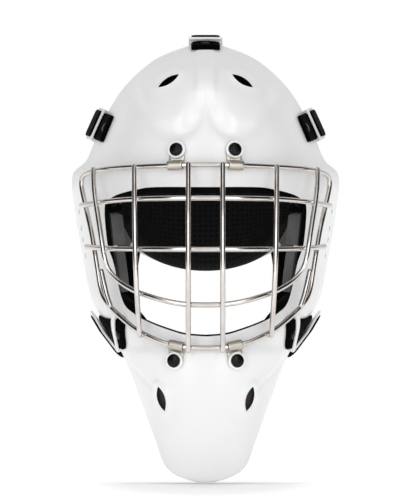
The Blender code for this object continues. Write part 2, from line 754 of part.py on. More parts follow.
def back_frame(across, height):
    """The outer face's point there, its outward normal, and unit vectors along it."""
    step = 0.02
    over = back_point(across + step, height) - back_point(across - step, height)
    up = back_point(across, height + step) - back_point(across, height - step)
    normal = over.cross(up).normalized()
    if normal.y < 0:
        normal = -normal
    return back_point(across, height), normal, over.normalized(), up.normalized()


def make_backplate(parts, materials):
    """The rigid backplate and the pad on its inner side."""
    for name, inward, spread, thickness, material in (
        ("backplate", 0.0, 1.0, BACK_THICKNESS, materials["gloss_white"]),
        ("backplate_pad", BACK_THICKNESS + 2.2, 1.02, BACK_PAD_THICKNESS, materials["foam_black"]),
    ):
        rows = []
        for i in range(9):
            height = spread * (1 - i / 4)
            corner = 1.0 - 0.16 * abs(height) ** 6
            rows.append([
                back_point(-spread * corner * (-1 + j / 6), height, inward) for j in range(13)
            ])
        plate = add_object(name, grid_mesh(name, rows), parts, material)
        add_solidify(plate, thickness)


# ---- harness -------------------------------------------------------------------------------
def hook_outline(reach, drop):
    """The hook's side view: a plate over the shell, a lip behind its edge and a return below."""
    lip = reach + LIP_CLEARANCE
    under = -drop - SHELL_THICKNESS - RETURN_CLEARANCE
    tip = reach - RETURN_LENGTH
    behind = lip + HOOK_SHEET
    return [
        (-HOOK_FRONT, PLATE_LOW), (lip, PLATE_LOW), (lip, under), (tip, under),
        (tip, under - HOOK_SHEET), (behind, under - HOOK_SHEET), (behind, PLATE_LOW),
        (lip + HOOK_TAIL, PLATE_LOW), (lip + HOOK_TAIL, PLATE_HIGH), (-HOOK_FRONT, PLATE_HIGH),
    ]


def add_tab(name, frame, kind, face, parts, material):
    """The webbing tab that lies on the shell under a hook and is riveted at its front end."""
    middle, back, out, along = frame
    length = TAB_FRONT[kind] + TAB_REAR[kind]
    rows = []
    for i in range(TAB_ROWS + 1):
        behind = length * i / TAB_ROWS - TAB_FRONT[kind]
        row = []
        for j in range(TAB_COLUMNS + 1):
            beside = WEBBING_WIDTH * (j / TAB_COLUMNS - 0.5)
            above = middle + back * behind + along * beside + out * HOOK_WIDTH
            hit, normal, _, _ = face.ray_cast(above, -out)
            if normal.dot(out) < 0:
                normal = -normal
            row.append(hit + normal * TAB_HIGH[kind])
        rows.append(row)
    tab = add_object(name, grid_mesh(name, rows), parts, material)
    add_solidify(tab, TAB_HIGH[kind] - TAB_LOW)


def ribbon(name, middles, widths, parts, material):
    """A flat strap: a strip through the middles, each with its half-width vector."""
    rows = [[m - w, m + w] for m, w in zip(middles, widths)]
    strap = add_object(name, grid_mesh(name, rows), parts, material)
    solid = add_solidify(strap, STRAP_THICKNESS)
    solid.offset = 0.0
    return strap


def hermite(start, start_slope, end, end_slope, share):
    """A cubic between two points with a slope at each end."""
    square = share * share
    cube = square * share
    return (
        start * (2 * cube - 3 * square + 1) + start_slope * (cube - 2 * square + share)
        + end * (3 * square - 2 * cube) + end_slope * (cube - square)
    )


def strap_end_direction(label, side, over, up):
    """Which way a strap runs where it lies on the backplate."""
    if label == "top":
        return -up
    if label.startswith("upper"):
        return over * -side
    return (over * (-0.45 * side) + up * 0.9).normalized()


def make_harness(parts, materials, face):
    """Five hooks on the shell's edge, their webbing tabs and the straps to the backplate."""
    spots = [("top", 1, TOP_ANCHOR)]
    for side, label in ((-1, "left"), (1, "right")):
        spots.append((f"upper_{label}", side, (side * UPPER_ANCHOR[0], UPPER_ANCHOR[1])))
        spots.append((f"lower_{label}", side, (side * LOWER_ANCHOR[0], LOWER_ANCHOR[1])))
    for label, side, (across, height) in spots:
        middle, back, out, along, reach, drop = hook_frame(label, side)
        place = frame_matrix(middle, back, out, back.cross(out))
        flat_outline(
            f"hook_{label}", hook_outline(reach, drop), HOOK_WIDTH / 2, place,
            parts, materials["hook_plastic"],
        )
        kind = label.split("_")[0]
        turn = side * LOWER_TAB_TURN if kind == "lower" else 0.0
        run = back * math.cos(turn) + along * math.sin(turn)
        tab_frame = (middle, run, out, out.cross(run))
        add_tab(f"webbing_loop_{label}", tab_frame, kind, face, parts, materials["webbing_black"])
        anchor, plate_out, over, up = back_frame(across, height)
        inward = strap_end_direction(label, side, over, up)
        end = anchor + plate_out * (STRAP_THICKNESS / 2 + STRAP_CLEARANCE)
        start = middle + back * (reach + LIP_CLEARANCE + HOOK_TAIL) + out * STRAP_MIDDLE
        pull = (end - start).length
        half_start = along * (WEBBING_WIDTH / 2)
        cross = inward.cross(plate_out).normalized() * (WEBBING_WIDTH / 2)
        if cross.dot(half_start) < 0:
            cross = -cross
        middles = [middle - back * (HOOK_FRONT - 2.0) + out * STRAP_MIDDLE, start - back * 8.0]
        widths = [half_start, half_start]
        for i in range(13):
            share = i / 12
            middles.append(hermite(start, back * pull * 0.9, end, inward * pull * 0.9, share))
            widths.append(half_start.lerp(cross, share).normalized() * (WEBBING_WIDTH / 2))
        ribbon(f"strap_{label}", middles, widths, parts, materials["webbing_black"])


# ---- chin cup ------------------------------------------------------------------------------
def make_chin_cup(parts, materials, face):
    """The chin cup, its two side straps, and the snaps that hold them to the shell."""
    axis_y, axis_z = CHIN_AXIS
    centre_y, centre_z = CHIN_CENTRE
    rows = []
    for i in range(7):
        tilt = math.radians(-8.0 + 16.0 * i)
        row = []
        for j in range(13):
            turn = math.radians(-80.0 + 160.0 * j / 12)
            row.append(Vector((
                CUP_HALF_WIDTH * math.sin(turn),
                centre_y - CUP_DEPTH * math.cos(turn) * math.cos(tilt) ** 0.7,
                centre_z - CUP_DROP * math.sin(tilt) * (0.55 + 0.45 * math.cos(turn)),
            )))
        rows.append(row)
    cup = add_object("chin_cup", grid_mesh("chin_cup", rows), parts, materials["cup_plastic"])
    add_solidify(cup, CUP_THICKNESS)
    for side, label in ((-1, "left"), (1, "right")):
        wall, out, _, _ = face.ray_cast(Vector((0.0, axis_y, axis_z)), Vector((side, 0.0, 0.0)))
        if out.x * side < 0:
            out = -out
        base = wall - out * (SHELL_THICKNESS + SNAP_CLEARANCE)
        snap = [
            (0.0, SNAP_HEIGHT), (SNAP_RADIUS - 1.2, SNAP_HEIGHT), (SNAP_RADIUS, SNAP_HEIGHT - 0.8),
            (SNAP_RADIUS, 0.0), (0.0, 0.0),
        ]
        square = (-out).to_track_quat("Z", "Y").to_matrix().to_4x4()
        place = Matrix.Translation(base * MM) @ square
        turned_piece(f"chin_snap_{label}", snap, place, parts, materials["zinc"])
        start = base - out * (SNAP_HEIGHT + 0.2 + STRAP_THICKNESS / 2)
        end = Vector((side * (CUP_HALF_WIDTH + 3.6), centre_y - 2.0, centre_z - 2.0))
        run = end - start
        lie = (run - out * run.dot(out)).normalized()
        half = lie.cross(out).normalized() * (CHIN_STRAP_WIDTH / 2)
        bend = start + lie * 7.5
        middles = [start - lie * 8.0, start, bend]
        for i in range(1, 7):
            middles.append(hermite(bend, lie * 16.0, end, (end - bend) * 0.9, i / 6))
        ribbon(f"chin_strap_{label}", middles, [half] * len(middles), parts, materials["webbing_black"])


# ---- the whole mask ------------------------------------------------------------------------
def main():
    """Build every piece."""
    for obj in list(bpy.data.objects):
        bpy.data.objects.remove(obj)
    parts = new_collection("goalie_mask")
    cutters = new_collection("cutters")
    materials = make_materials()
    ring = make_cage(parts, materials)
    face = skin_tree(0.0)
    frames = clip_frames(ring, face)
    holes = {
        label: frame_matrix(point, reach, normal.cross(reach), normal)
        for label, (point, normal, reach, _, _) in frames.items()
    }
    make_shell(parts, cutters, materials, holes)
    make_fasteners(frames, parts, cutters, materials)
    make_padding(parts, cutters, materials)
    make_backplate(parts, materials)
    make_harness(parts, materials, face)
    make_chin_cup(parts, materials, face)


main()
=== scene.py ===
"""Looks of the goalie mask: fine surfaces, materials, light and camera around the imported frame."""

import math

import bmesh
import bpy
import numpy as np
from mathutils import Matrix, Vector
from mathutils.bvhtree import BVHTree


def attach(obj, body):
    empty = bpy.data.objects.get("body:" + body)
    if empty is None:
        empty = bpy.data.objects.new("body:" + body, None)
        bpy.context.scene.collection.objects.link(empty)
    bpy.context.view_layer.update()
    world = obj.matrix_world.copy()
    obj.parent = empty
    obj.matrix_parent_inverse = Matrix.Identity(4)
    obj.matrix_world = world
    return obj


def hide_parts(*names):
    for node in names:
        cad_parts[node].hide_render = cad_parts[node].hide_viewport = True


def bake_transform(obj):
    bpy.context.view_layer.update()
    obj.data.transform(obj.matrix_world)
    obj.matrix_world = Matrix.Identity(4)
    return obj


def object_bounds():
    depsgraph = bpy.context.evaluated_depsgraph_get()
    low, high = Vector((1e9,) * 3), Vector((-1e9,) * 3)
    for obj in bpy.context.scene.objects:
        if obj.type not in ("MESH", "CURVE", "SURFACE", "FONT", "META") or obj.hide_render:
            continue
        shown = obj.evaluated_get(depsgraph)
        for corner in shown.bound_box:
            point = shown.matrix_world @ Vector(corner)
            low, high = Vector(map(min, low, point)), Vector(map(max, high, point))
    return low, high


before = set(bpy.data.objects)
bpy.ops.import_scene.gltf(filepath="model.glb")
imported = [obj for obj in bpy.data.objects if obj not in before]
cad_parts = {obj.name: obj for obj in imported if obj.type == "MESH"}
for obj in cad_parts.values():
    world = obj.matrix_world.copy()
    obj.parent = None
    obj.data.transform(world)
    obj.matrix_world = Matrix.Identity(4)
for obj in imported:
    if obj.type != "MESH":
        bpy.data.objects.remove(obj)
cad_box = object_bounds()

MM = 0.001
SIDES = ((-1, "left"), (1, "right"))

# ---- dimensions shared with the CAD, millimetres -------------------------------------------
SHELL_THICKNESS = 3.5
# Stations of the shell from crown to chin: (front y, front z, edge x, edge y, edge z)
STATIONS = np.array([
    (12.0, 166.0, 19.0, 14.0, 162.5),
    (-48.0, 156.0, 50.0, 17.0, 147.5),
    (-88.0, 126.0, 76.0, 24.0, 123.0),
    (-106.0, 88.0, 95.0, 36.0, 88.0),
    (-112.0, 62.0, 105.5, 45.0, 64.0),
    (-113.5, 47.0, 118.0, 51.0, 50.0),
    (-116.0, 5.0, 115.5, 54.0, 18.0),
    (-118.5, -45.0, 108.5, 40.0, -22.0),
    (-123.0, -82.0, 101.0, 14.0, -56.0),
    (-127.0, -108.0, 86.0, -14.0, -79.0),
    (-126.0, -138.0, 70.0, -44.0, -111.0),
    (-121.0, -170.0, 57.0, -64.0, -145.0),
    (-113.0, -200.0, 45.0, -82.0, -178.0),
    (-106.0, -216.0, 34.0, -94.0, -205.0),
    (-102.0, -220.0, 8.0, -101.0, -219.6),
])
FULLNESS = 0.93
LAST_STATION = len(STATIONS) - 1

PORT_OUTLINE = [
    (0.0, 39.4), (44.0, 39.4), (60.0, 37.4), (76.0, 33.4), (84.0, 29.0), (88.8, 21.5),
    (86.4, -9.7), (81.0, -27.0), (73.0, -60.0), (63.4, -71.3), (49.3, -79.3), (33.4, -85.4),
    (17.6, -90.0), (0.0, -91.5),
]
# Vents: (x, z, length, width, tilt in degrees from the X axis), mirrored to the other side
FOREHEAD_VENT = (32.5, 133.0, 21.6, 5.6, -32.0)
CHIN_VENT = (38.8, -146.3, 22.4, 7.0, 75.0)
EAR_HOLE_HEIGHTS = [18.5, 3.0, -6.5, -21.0]
EAR_HOLE_RADIUS = 2.6
EAR_HOLE_ACROSS = 0.82
CUTTER_REACH = 9.0

WIRE_RADIUS = 2.25
STANDOFF = 5.8
LAYER = 5.5
CAGE_BULGE = 19.0
CAGE_TOP = 59.0
CAGE_BOTTOM = -101.8
CAGE_HALF_WIDTH = 112.0

SCREW_TOP = (24.6, 71.6)
SCREW_BOTTOM = (26.4, -112.7)
SCREW_RADIUS = 2.5
HEAD_RADIUS = 5.75
HEAD_HEIGHT = 3.2
WASHER_RADIUS = 7.7
WASHER_HEIGHT = 2.0
HOLE_RADIUS = 2.9
CLIP_WIDTH = 13.2
CLIP_SHEET = 1.5
CLIP_LOW = 0.7
GAP = 0.3

HOOK_WIDTH = 30.0
HOOK_FRONT = 12.0
WEBBING_WIDTH = 25.0
TAB_LOW = 0.5
TAB_HIGH = {"top": 5.0, "upper": 3.5, "lower": 3.5}
PLATE_LOW, PLATE_HIGH = 4.0, 6.2
HOOK_SHEET = 2.6
LIP_CLEARANCE = 1.6
RETURN_CLEARANCE = 1.4
RETURN_LENGTH = 7.0
HOOK_TAIL = 5.5
STRAP_MIDDLE = 7.3
STRAP_THICKNESS = 1.6
STRAP_CLEARANCE = 1.5
TOP_HOOK_STATION = 0.42
TOP_HOOK_LIFT = 2.4
HOOK_STATIONS = {"upper": 2.84, "lower": 8.93}
HOOK_ACROSS = 0.90
TAB_FRONT = {"top": 22.0, "upper": 40.0, "lower": 56.0}
TAB_REAR = {"top": 6.0, "upper": 6.0, "lower": -2.0}
LOWER_TAB_TURN = 59.0
TOP_ANCHOR = (0.0, 0.90)
UPPER_ANCHOR = (0.86, 0.52)
LOWER_ANCHOR = (0.62, -0.60)

BACK_ARC = math.radians(78.0)
BACK_MIDDLE_Z = 41.0
BACK_HALF_HEIGHT = 74.0
BACK_HALF_WIDTH = 80.0
BACK_DEPTH = 58.0
BACK_CENTRE_Y = 62.0
BACK_SMILE = 46.0
BACK_THICKNESS = 3.5
BACK_PAD_THICKNESS = 9.0

CHIN_AXIS = (-54.0, -101.0)
CHIN_CENTRE = (-72.0, -116.0)
CHIN_PAD_RISE = 1.5
KEEPER_PLACE = -44.0
FOREHEAD_DROOP = 0.44

# Scales of the wave textures that stand for the webbing's ribs and picks
RIB_SCALE = 3.0 / 7.0
PICK_SCALE = 0.5 / 1.6

CUP_HALF_WIDTH = 38.0
CUP_DEPTH = 24.0
CUP_DROP = 20.0
CUP_THICKNESS = 3.0
SNAP_CLEARANCE = 1.2
SNAP_STAND = 3.6
CHIN_STRAP_WIDTH = 14.0

# Metres: where the camera stands, and how wide its view is at a depth in front of the origin
CAMERA_DISTANCE = 14.0
CAMERA_X, CAMERA_Z = 0.0026, -0.0158
VIEW_DEPTH, VIEW_WIDTH = 0.06, 0.440
SENSOR_WIDTH = 36.0

# The mask stands on its chin, and the floor falls away gently in front of it
CHIN_REST = -0.104
FLOOR_SLOPE = math.tan(math.radians(6.0))


# ---- small tools ---------------------------------------------------------------------------
def smoothstep(low, high, value):
    """0 below low, 1 above high and smooth between; low may be the larger."""
    share = np.clip((np.asarray(value, float) - low) / (high - low), 0.0, 1.0)
    return share * share * (3.0 - 2.0 * share)


def catmull_rom(points, position):
    """The smooth curve through rows of numbers, read at positions counted in rows."""
    points = np.asarray(points, float)
    last = len(points) - 1
    position = np.clip(np.asarray(position, float), 0.0, last)
    index = np.minimum(position.astype(int), last - 1)
    part = (position - index)[..., None]
    before = points[np.maximum(index - 1, 0)]
    here = points[index]
    there = points[index + 1]
    after = points[np.minimum(index + 2, last)]
    slope_b = (there - before) / 2
    slope_c = (after - here) / 2
    cubic = 2 * (here - there) + slope_b + slope_c
    square = 3 * (there - here) - 2 * slope_b - slope_c
    return here + part * (slope_b + part * (square + part * cubic))


def smooth_points(points, count):
    """Count points spread along the smooth curve through the given ones, evenly by length."""
    fine = catmull_rom(points, np.linspace(0, len(points) - 1, 2000))
    run = np.concatenate(([0.0], np.cumsum(np.linalg.norm(np.diff(fine, axis=0), axis=1))))
    want = np.linspace(0, run[-1], count)
    return np.stack([np.interp(want, run, fine[:, k]) for k in range(fine.shape[1])], axis=1)


def unit(vectors):
    """The vectors at length 1."""
    vectors = np.asarray(vectors, float)
    return vectors / np.maximum(np.linalg.norm(vectors, axis=-1, keepdims=True), 1e-12)


def mesh_object(name, verts, faces, material, uvs=None, sharp=None):
    """A smooth-shaded mesh object from vertices in millimetres."""
    mesh = bpy.data.meshes.new(name)
    mesh.from_pydata([tuple(v) for v in np.asarray(verts, float) * MM], [], faces)
    mesh.validate()
    if uvs is not None:
        layer = mesh.uv_layers.new(name="UVMap")
        table = np.asarray(uvs, float)
        for loop in mesh.loops:
            layer.data[loop.index].uv = table[loop.vertex_index]
    mesh.shade_smooth()
    if sharp is not None:
        mesh.set_sharp_from_angle(angle=math.radians(sharp))
    mesh.materials.append(material)
    obj = bpy.data.objects.new(name, mesh)
    bpy.context.scene.collection.objects.link(obj)
    return obj


def bake(obj, sharp=None):
    """Applies the object's modifiers to its mesh."""
    bpy.context.view_layer.update()
    evaluated = obj.evaluated_get(bpy.context.evaluated_depsgraph_get())
    mesh = bpy.data.meshes.new_from_object(evaluated)
    old = obj.data
    obj.modifiers.clear()
    obj.data = mesh
    mesh.name = old.name
    bpy.data.meshes.remove(old)
    mesh.shade_smooth()
    if sharp is not None:
        mesh.set_sharp_from_angle(angle=math.radians(sharp))
    return obj


def bevelled(obj, width, segments=2, angle=35.0):
    """Rounds the object's hard edges."""
    bevel = obj.modifiers.new("Bevel", "BEVEL")
    bevel.width = width * MM
    bevel.segments = segments
    bevel.limit_method = "ANGLE"
    bevel.angle_limit = math.radians(angle)
    return bake(obj, sharp=30.0)


def cut(obj, cutter, sharp=38.0):
    """Cuts the object with a closed mesh, which is then removed."""
    boolean = obj.modifiers.new("Cut", "BOOLEAN")
    boolean.operation = "DIFFERENCE"
    boolean.solver = "EXACT"
    boolean.object = cutter
    bake(obj, sharp)
    bpy.data.objects.remove(cutter)
    return obj


def joined(name, pieces, material):
    """One object from several (vertices, faces) lists."""
    verts, faces = [], []
    for piece_verts, piece_faces in pieces:
        start = len(verts)
        verts.extend(list(piece_verts))
        faces.extend([tuple(i + start for i in face) for face in piece_faces])
    return mesh_object(name, verts, faces, material)


def settle(obj, body, nodes=()):
    """The piece rides on a body and stands in for CAD nodes, which it hides."""
    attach(obj, body)
    if nodes:
        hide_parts(*nodes)
    return obj


def grid_faces(rows, columns, start=0, flip=False):
    """Quads of a grid of vertices that is rows by columns points in size."""
    faces = []
    for i in range(rows - 1):
        for j in range(columns - 1):
            a = start + i * columns + j
            quad = (a, a + columns, a + columns + 1, a + 1)
            faces.append(quad[::-1] if flip else quad)
    return faces


def closed_sheet(front, back):
    """Vertices and faces of a solid between two grids of points, front facing out."""
    rows, columns = front.shape[:2]
    count = rows * columns
    verts = np.concatenate((front.reshape(-1, 3), back.reshape(-1, 3)))
    faces = grid_faces(rows, columns) + grid_faces(rows, columns, count, flip=True)
    rim = [j for j in range(columns)]
    rim += [i * columns + columns - 1 for i in range(1, rows)]
    rim += [(rows - 1) * columns + j for j in range(columns - 2, -1, -1)]
    rim += [i * columns for i in range(rows - 2, 0, -1)]
    for a, b in zip(rim, rim[1:] + rim[:1]):
        faces.append((a, b, b + count, a + count))
    return verts, faces


def frame_matrix(origin, x_axis, y_axis, z_axis):
    """The matrix of a frame, its origin in millimetres and its axes as unit vectors."""
    matrix = Matrix((x_axis, y_axis, z_axis)).transposed().to_4x4()
    matrix.translation = Vector(origin) * MM
    return matrix


def tube(points, radius, sides=16, cyclic=False, centre=(0.0, 0.0, -20.0)):
    """Vertices and faces of a round wire with domed ends, in millimetres."""
    points = np.asarray(points, float)
    if cyclic:
        along = unit(np.roll(points, -1, axis=0) - np.roll(points, 1, axis=0))
    else:
        along = unit(np.gradient(points, axis=0))
    outward = unit(points - np.asarray(centre, float))
    side = unit(np.cross(along, outward))
    up = np.cross(side, along)
    rings = [(points[i], along[i] * 0.0, radius, side[i], up[i]) for i in range(len(points))]
    if not cyclic:
        for share in (0.35, 0.7, 0.95):
            shrink = radius * math.sqrt(1 - share ** 2)
            rings.insert(0, (points[0], -along[0] * radius * share * 0.8, shrink, side[0], up[0]))
            rings.append((points[-1], along[-1] * radius * share * 0.8, shrink, side[-1], up[-1]))
    angles = np.linspace(0, 2 * math.pi, sides, endpoint=False)
    verts = []
    for point, shift, size, side_axis, up_axis in rings:
        for angle in angles:
            verts.append(point + shift + size * (
                math.cos(angle) * side_axis + math.sin(angle) * up_axis
            ))
    faces = []
    count = len(rings)
    for i in range(count if cyclic else count - 1):
        for j in range(sides):
            a = i * sides + j
            b = i * sides + (j + 1) % sides
            c = ((i + 1) % count) * sides
            faces.append((a, b, c + (j + 1) % sides, c + j))
    if not cyclic:
        faces.append(tuple(range(sides))[::-1])
        faces.append(tuple((count - 1) * sides + j for j in range(sides)))
    return verts, faces


def prism(outline, low, high):
    """Vertices and faces of an outline in XY drawn out from one height to another along Z."""
    count = len(outline)
    verts = [(x, y, low) for x, y in outline] + [(x, y, high) for x, y in outline]
    area = sum(
        outline[i][0] * outline[(i + 1) % count][1] - outline[(i + 1) % count][0] * outline[i][1]
        for i in range(count)
    )
    faces = [tuple(range(count))[::-1], tuple(range(count, 2 * count))]
    faces += [(i, (i + 1) % count, (i + 1) % count + count, i + count) for i in range(count)]
    if area < 0:
        faces = [face[::-1] for face in faces]
    return verts, faces


def lathe(profile, steps=40):
    """Vertices and faces of a profile of (radius, height) turned about Z, top to bottom."""
    verts, faces, rings = [], [], []
    for radius, height in profile:
        if radius < 1e-6:
            rings.append([len(verts)])
            verts.append((0.0, 0.0, height))
            continue
        rings.append(list(range(len(verts), len(verts) + steps)))
        for i in range(steps):
            angle = 2 * math.pi * i / steps
            verts.append((radius * math.cos(angle), radius * math.sin(angle), height))
    pairs = list(zip(rings, rings[1:]))
    if profile[0][0] > 1e-6:
        pairs.append((rings[-1], rings[0]))
    for upper, lower in pairs:
        for i in range(steps):
            k = (i + 1) % steps
            if len(upper) == 1:
                faces.append((upper[0], lower[i], lower[k]))
            elif len(lower) == 1:
                faces.append((upper[i], lower[0], upper[k]))
            else:
                faces.append((upper[i], lower[i], lower[k], upper[k]))
    return verts, faces


def standing(point, out):
    """The matrix that sets Z along a direction, at a point in millimetres."""
    square = Vector(out).to_track_quat("Z", "Y").to_matrix().to_4x4()
    return Matrix.Translation(Vector(point) * MM) @ square


def placed(verts, matrix):
    """Local vertices in millimetres moved by a matrix in metres, back in millimetres."""
    table = np.array(matrix, float)
    return np.asarray(verts, float) @ table[:3, :3].T + table[:3, 3] / MM


# ---- materials -----------------------------------------------------------------------------
def connect(tree, node, inputs):
    """Sets each of a node's inputs to a value, or links it to another node's output."""
    for key, value in inputs.items():
        if isinstance(value, bpy.types.NodeSocket):
            tree.links.new(value, node.inputs[key])
        else:
            node.inputs[key].default_value = value


def add_node(tree, kind, output, inputs, **settings):
    """Adds a node with its settings and inputs, and gives one of its outputs."""
    made = tree.nodes.new(kind)
    for key, value in settings.items():
        setattr(made, key, value)
    connect(tree, made, inputs)
    return made.outputs[output]


def new_material(name, source="Object"):
    """A material, its node tree and Principled shader, and the coordinates of its patterns."""
    material = bpy.data.materials.new(name)
    material.use_nodes = True
    tree = material.node_tree
    where = add_node(tree, "ShaderNodeTexCoord", source, {})
    return material, tree, tree.nodes["Principled BSDF"], where


def noise(tree, where, scale, detail=3.0, roughness=0.5):
    """A noise pattern; scale is in cells to a unit of the coordinates."""
    return add_node(tree, "ShaderNodeTexNoise", "Fac", {
        "Vector": where, "Scale": scale, "Detail": detail, "Roughness": roughness,
    })


def colour_ramp(tree, factor, stops, interpolation="LINEAR"):
    """A ramp with a stop at each (place, colour)."""
    ramp = tree.nodes.new("ShaderNodeValToRGB")
    ramp.color_ramp.interpolation = interpolation
    elements = ramp.color_ramp.elements
    elements.remove(elements[1])
    for i, (place, colour) in enumerate(stops):
        stop = elements[0] if i == 0 else elements.new(place)
        stop.position = place
        stop.color = (*colour, 1.0)
    tree.links.new(factor, ramp.inputs["Fac"])
    return ramp.outputs["Color"]


def grey_ramp(tree, factor, stops):
    """A ramp of greys that eases between its (place, level) stops."""
    return colour_ramp(tree, factor, [(place, (level,) * 3) for place, level in stops], "EASE")


def spread(tree, factor, low, high):
    """A value between two others by a factor."""
    return add_node(tree, "ShaderNodeMapRange", "Result", {
        "Value": factor, "To Min": low, "To Max": high,
    })


def bump(tree, height, strength, distance):
    """The normal of a surface raised by a height; distance is in millimetres."""
    return add_node(tree, "ShaderNodeBump", "Normal", {
        "Height": height, "Strength": strength, "Distance": distance * MM,
    })


def calculate(tree, operation, *values):
    """A math node's result, from numbers and sockets."""
    return add_node(
        tree, "ShaderNodeMath", "Value", dict(enumerate(values)), operation=operation
    )


def gloss_white_material(name, low, high):
    """Clear-coated white composite: faint cloudiness and a slight orange peel."""
    material, tree, shader, where = new_material(name)
    cloudy = noise(tree, where, 14.0)
    connect(tree, shader, {
        "Base Color": colour_ramp(tree, cloudy, [(0.3, low), (0.7, high)]),
        "Roughness": spread(tree, noise(tree, where, 55.0, 5.0), 0.26, 0.36),
        "Normal": bump(tree, noise(tree, where, 420.0, 1.0), 0.05, 0.25),
        "Coat Weight": 0.35,
        "Coat Roughness": 0.12,
        "Specular IOR Level": 0.5,
    })
    return material


# Each kind's metallic value, noises for colour and grain, and bump strength and height
GRAINS = {
    "metal": (1.0, (60.0, 4.0), (260.0, 4.0, 0.6), (0.12, 0.05)),
    "plastic": (0.0, (40.0, 3.0), (900.0, 3.0), (0.25, 0.08)),
}


def grained_material(kind, name, low, high, rough_low, rough_high):
    """Plated or satin metal with fine marks, or moulded plastic with a spark-eroded grain."""
    metallic, cloud_noise, grain_noise, bump_size = GRAINS[kind]
    material, tree, shader, where = new_material(name)
    cloudy = noise(tree, where, *cloud_noise)
    grain = noise(tree, where, *grain_noise)
    connect(tree, shader, {
        "Base Color": colour_ramp(tree, cloudy, [(0.3, low), (0.7, high)]),
        "Roughness": spread(tree, grain, rough_low, rough_high),
        "Normal": bump(tree, grain, *bump_size),
        "Metallic": metallic,
    })
    return material


def foam_material(name, low, high, sheen):
    """Brushed knit laminated on foam: short fibres over a fine knit."""
    material, tree, shader, where = new_material(name)
    cloudy = noise(tree, where, 45.0, 6.0, 0.65)
    fibres = noise(tree, where, 700.0, 5.0, 0.7)
    knit = add_node(
        tree, "ShaderNodeTexVoronoi", "Distance", {"Vector": where, "Scale": 1100.0}
    )
    connect(tree, shader, {
        "Base Color": colour_ramp(tree, cloudy, [(0.3, low), (0.7, high)]),
        "Roughness": spread(tree, fibres, 0.78, 0.98),
        "Normal": bump(tree, calculate(tree, "MULTIPLY", knit, fibres), 0.6, 0.5),
        "Sheen Weight": sheen,
        "Sheen Roughness": 0.5,
        "Specular IOR Level": 0.02,
    })
    return material


def dimpled_material(name, low, high):
    """Moulded foam with rows of small dimples, laid out on the pad's own coordinates, their pits
    painted darker as painted shade.
    """
    material, tree, shader, where = new_material(name, "UV")
    solid = add_node(tree, "ShaderNodeTexCoord", "Object", {})
    dots = add_node(tree, "ShaderNodeTexVoronoi", "Distance", {
        "Vector": where, "Scale": 1.0, "Randomness": 0.0,
    }, feature="F1")
    pit = add_node(tree, "ShaderNodeMapRange", "Result", {
        "Value": dots, "From Min": 0.12, "From Max": 0.30,
    })
    connect(tree, shader, {
        # The base colour is darker in the pits: painted shade in the dimples.
        "Base Color": colour_ramp(tree, pit, [(0.0, low), (1.0, high)]),
        "Roughness": spread(tree, noise(tree, solid, 500.0, 4.0), 0.6, 0.85),
        "Normal": bump(tree, pit, 0.8, 0.8),
        "Specular IOR Level": 0.15,
    })
    return material


def webbing_material(name, low, high):
    """Woven webbing: ribs along its length crossed by the weave, on UVs in millimetres, its low
    places painted darker as painted shade.
    """
    material, tree, shader, where = new_material(name, "UV")
    solid = add_node(tree, "ShaderNodeTexCoord", "Object", {})
    ribs = add_node(
        tree, "ShaderNodeTexWave", "Fac", {"Vector": where, "Scale": RIB_SCALE},
        wave_type="BANDS", bands_direction="X",
    )
    picks = add_node(
        tree, "ShaderNodeTexWave", "Fac",
        {"Vector": where, "Scale": PICK_SCALE, "Distortion": 0.6},
        wave_type="BANDS", bands_direction="Y",
    )
    weave = calculate(tree, "MULTIPLY", ribs, picks)
    connect(tree, shader, {
        # The base colour is darker where the weave sinks: painted shade in its grooves.
        "Base Color": colour_ramp(tree, weave, [(0.1, low), (0.8, high)]),
        "Roughness": spread(tree, noise(tree, solid, 900.0, 3.0), 0.6, 0.85),
        "Normal": bump(tree, weave, 0.7, 0.5),
        "Specular IOR Level": 0.02,
    })
    return material


def make_materials():
    """Every material of the mask."""
    made = {"shell": gloss_white_material("shell_gloss", (0.83, 0.83, 0.835), (0.87, 0.87, 0.872))}
    for key, kind, name, low, high, rough_low, rough_high in (
        ("chrome", "metal", "cage_chrome", (0.56, 0.525, 0.50), (0.70, 0.67, 0.645), 0.09, 0.16),
        ("clip", "metal", "clip_satin", (0.44, 0.41, 0.36), (0.58, 0.54, 0.48), 0.28, 0.42),
        ("screw", "metal", "screw_oxide", (0.01, 0.01, 0.011), (0.03, 0.03, 0.032), 0.25, 0.4),
        ("zinc", "metal", "zinc_plate", (0.5, 0.51, 0.52), (0.68, 0.69, 0.7), 0.3, 0.45),
        ("nylon", "plastic", "washer_white", (0.92,) * 3, (0.95,) * 3, 0.35, 0.5),
        ("hook", "plastic", "hook_moulded", (0.80,) * 3, (0.86,) * 3, 0.32, 0.45),
        ("cup", "plastic", "cup_moulded", (0.02, 0.02, 0.022), (0.04, 0.04, 0.043), 0.4, 0.6),
    ):
        made[key] = grained_material(kind, name, low, high, rough_low, rough_high)
    for key, name, low, high, sheen in (
        ("foam", "foam_knit", (0.002, 0.002, 0.0022), (0.006, 0.006, 0.0065), 0.015),
        ("foam_grey", "foam_brushed", (0.10, 0.10, 0.102), (0.16, 0.16, 0.165), 0.2),
        ("felt", "flap_felt", (0.13, 0.13, 0.132), (0.19, 0.19, 0.195), 0.15),
        # The brown-grey sheet behind the chin vents is painted shade for the vents' dark insides.
        ("painted_shade", "vent_painted_shade", (0.055, 0.042, 0.038), (0.085, 0.068, 0.062), 0.1),
    ):
        made[key] = foam_material(name, low, high, sheen)
    made["foam_dimpled"] = dimpled_material("foam_dimpled", (0.001,) * 3, (0.008,) * 3)
    made["webbing"] = webbing_material("webbing_weave", (0.001,) * 3, (0.004, 0.004, 0.0042))
    return made


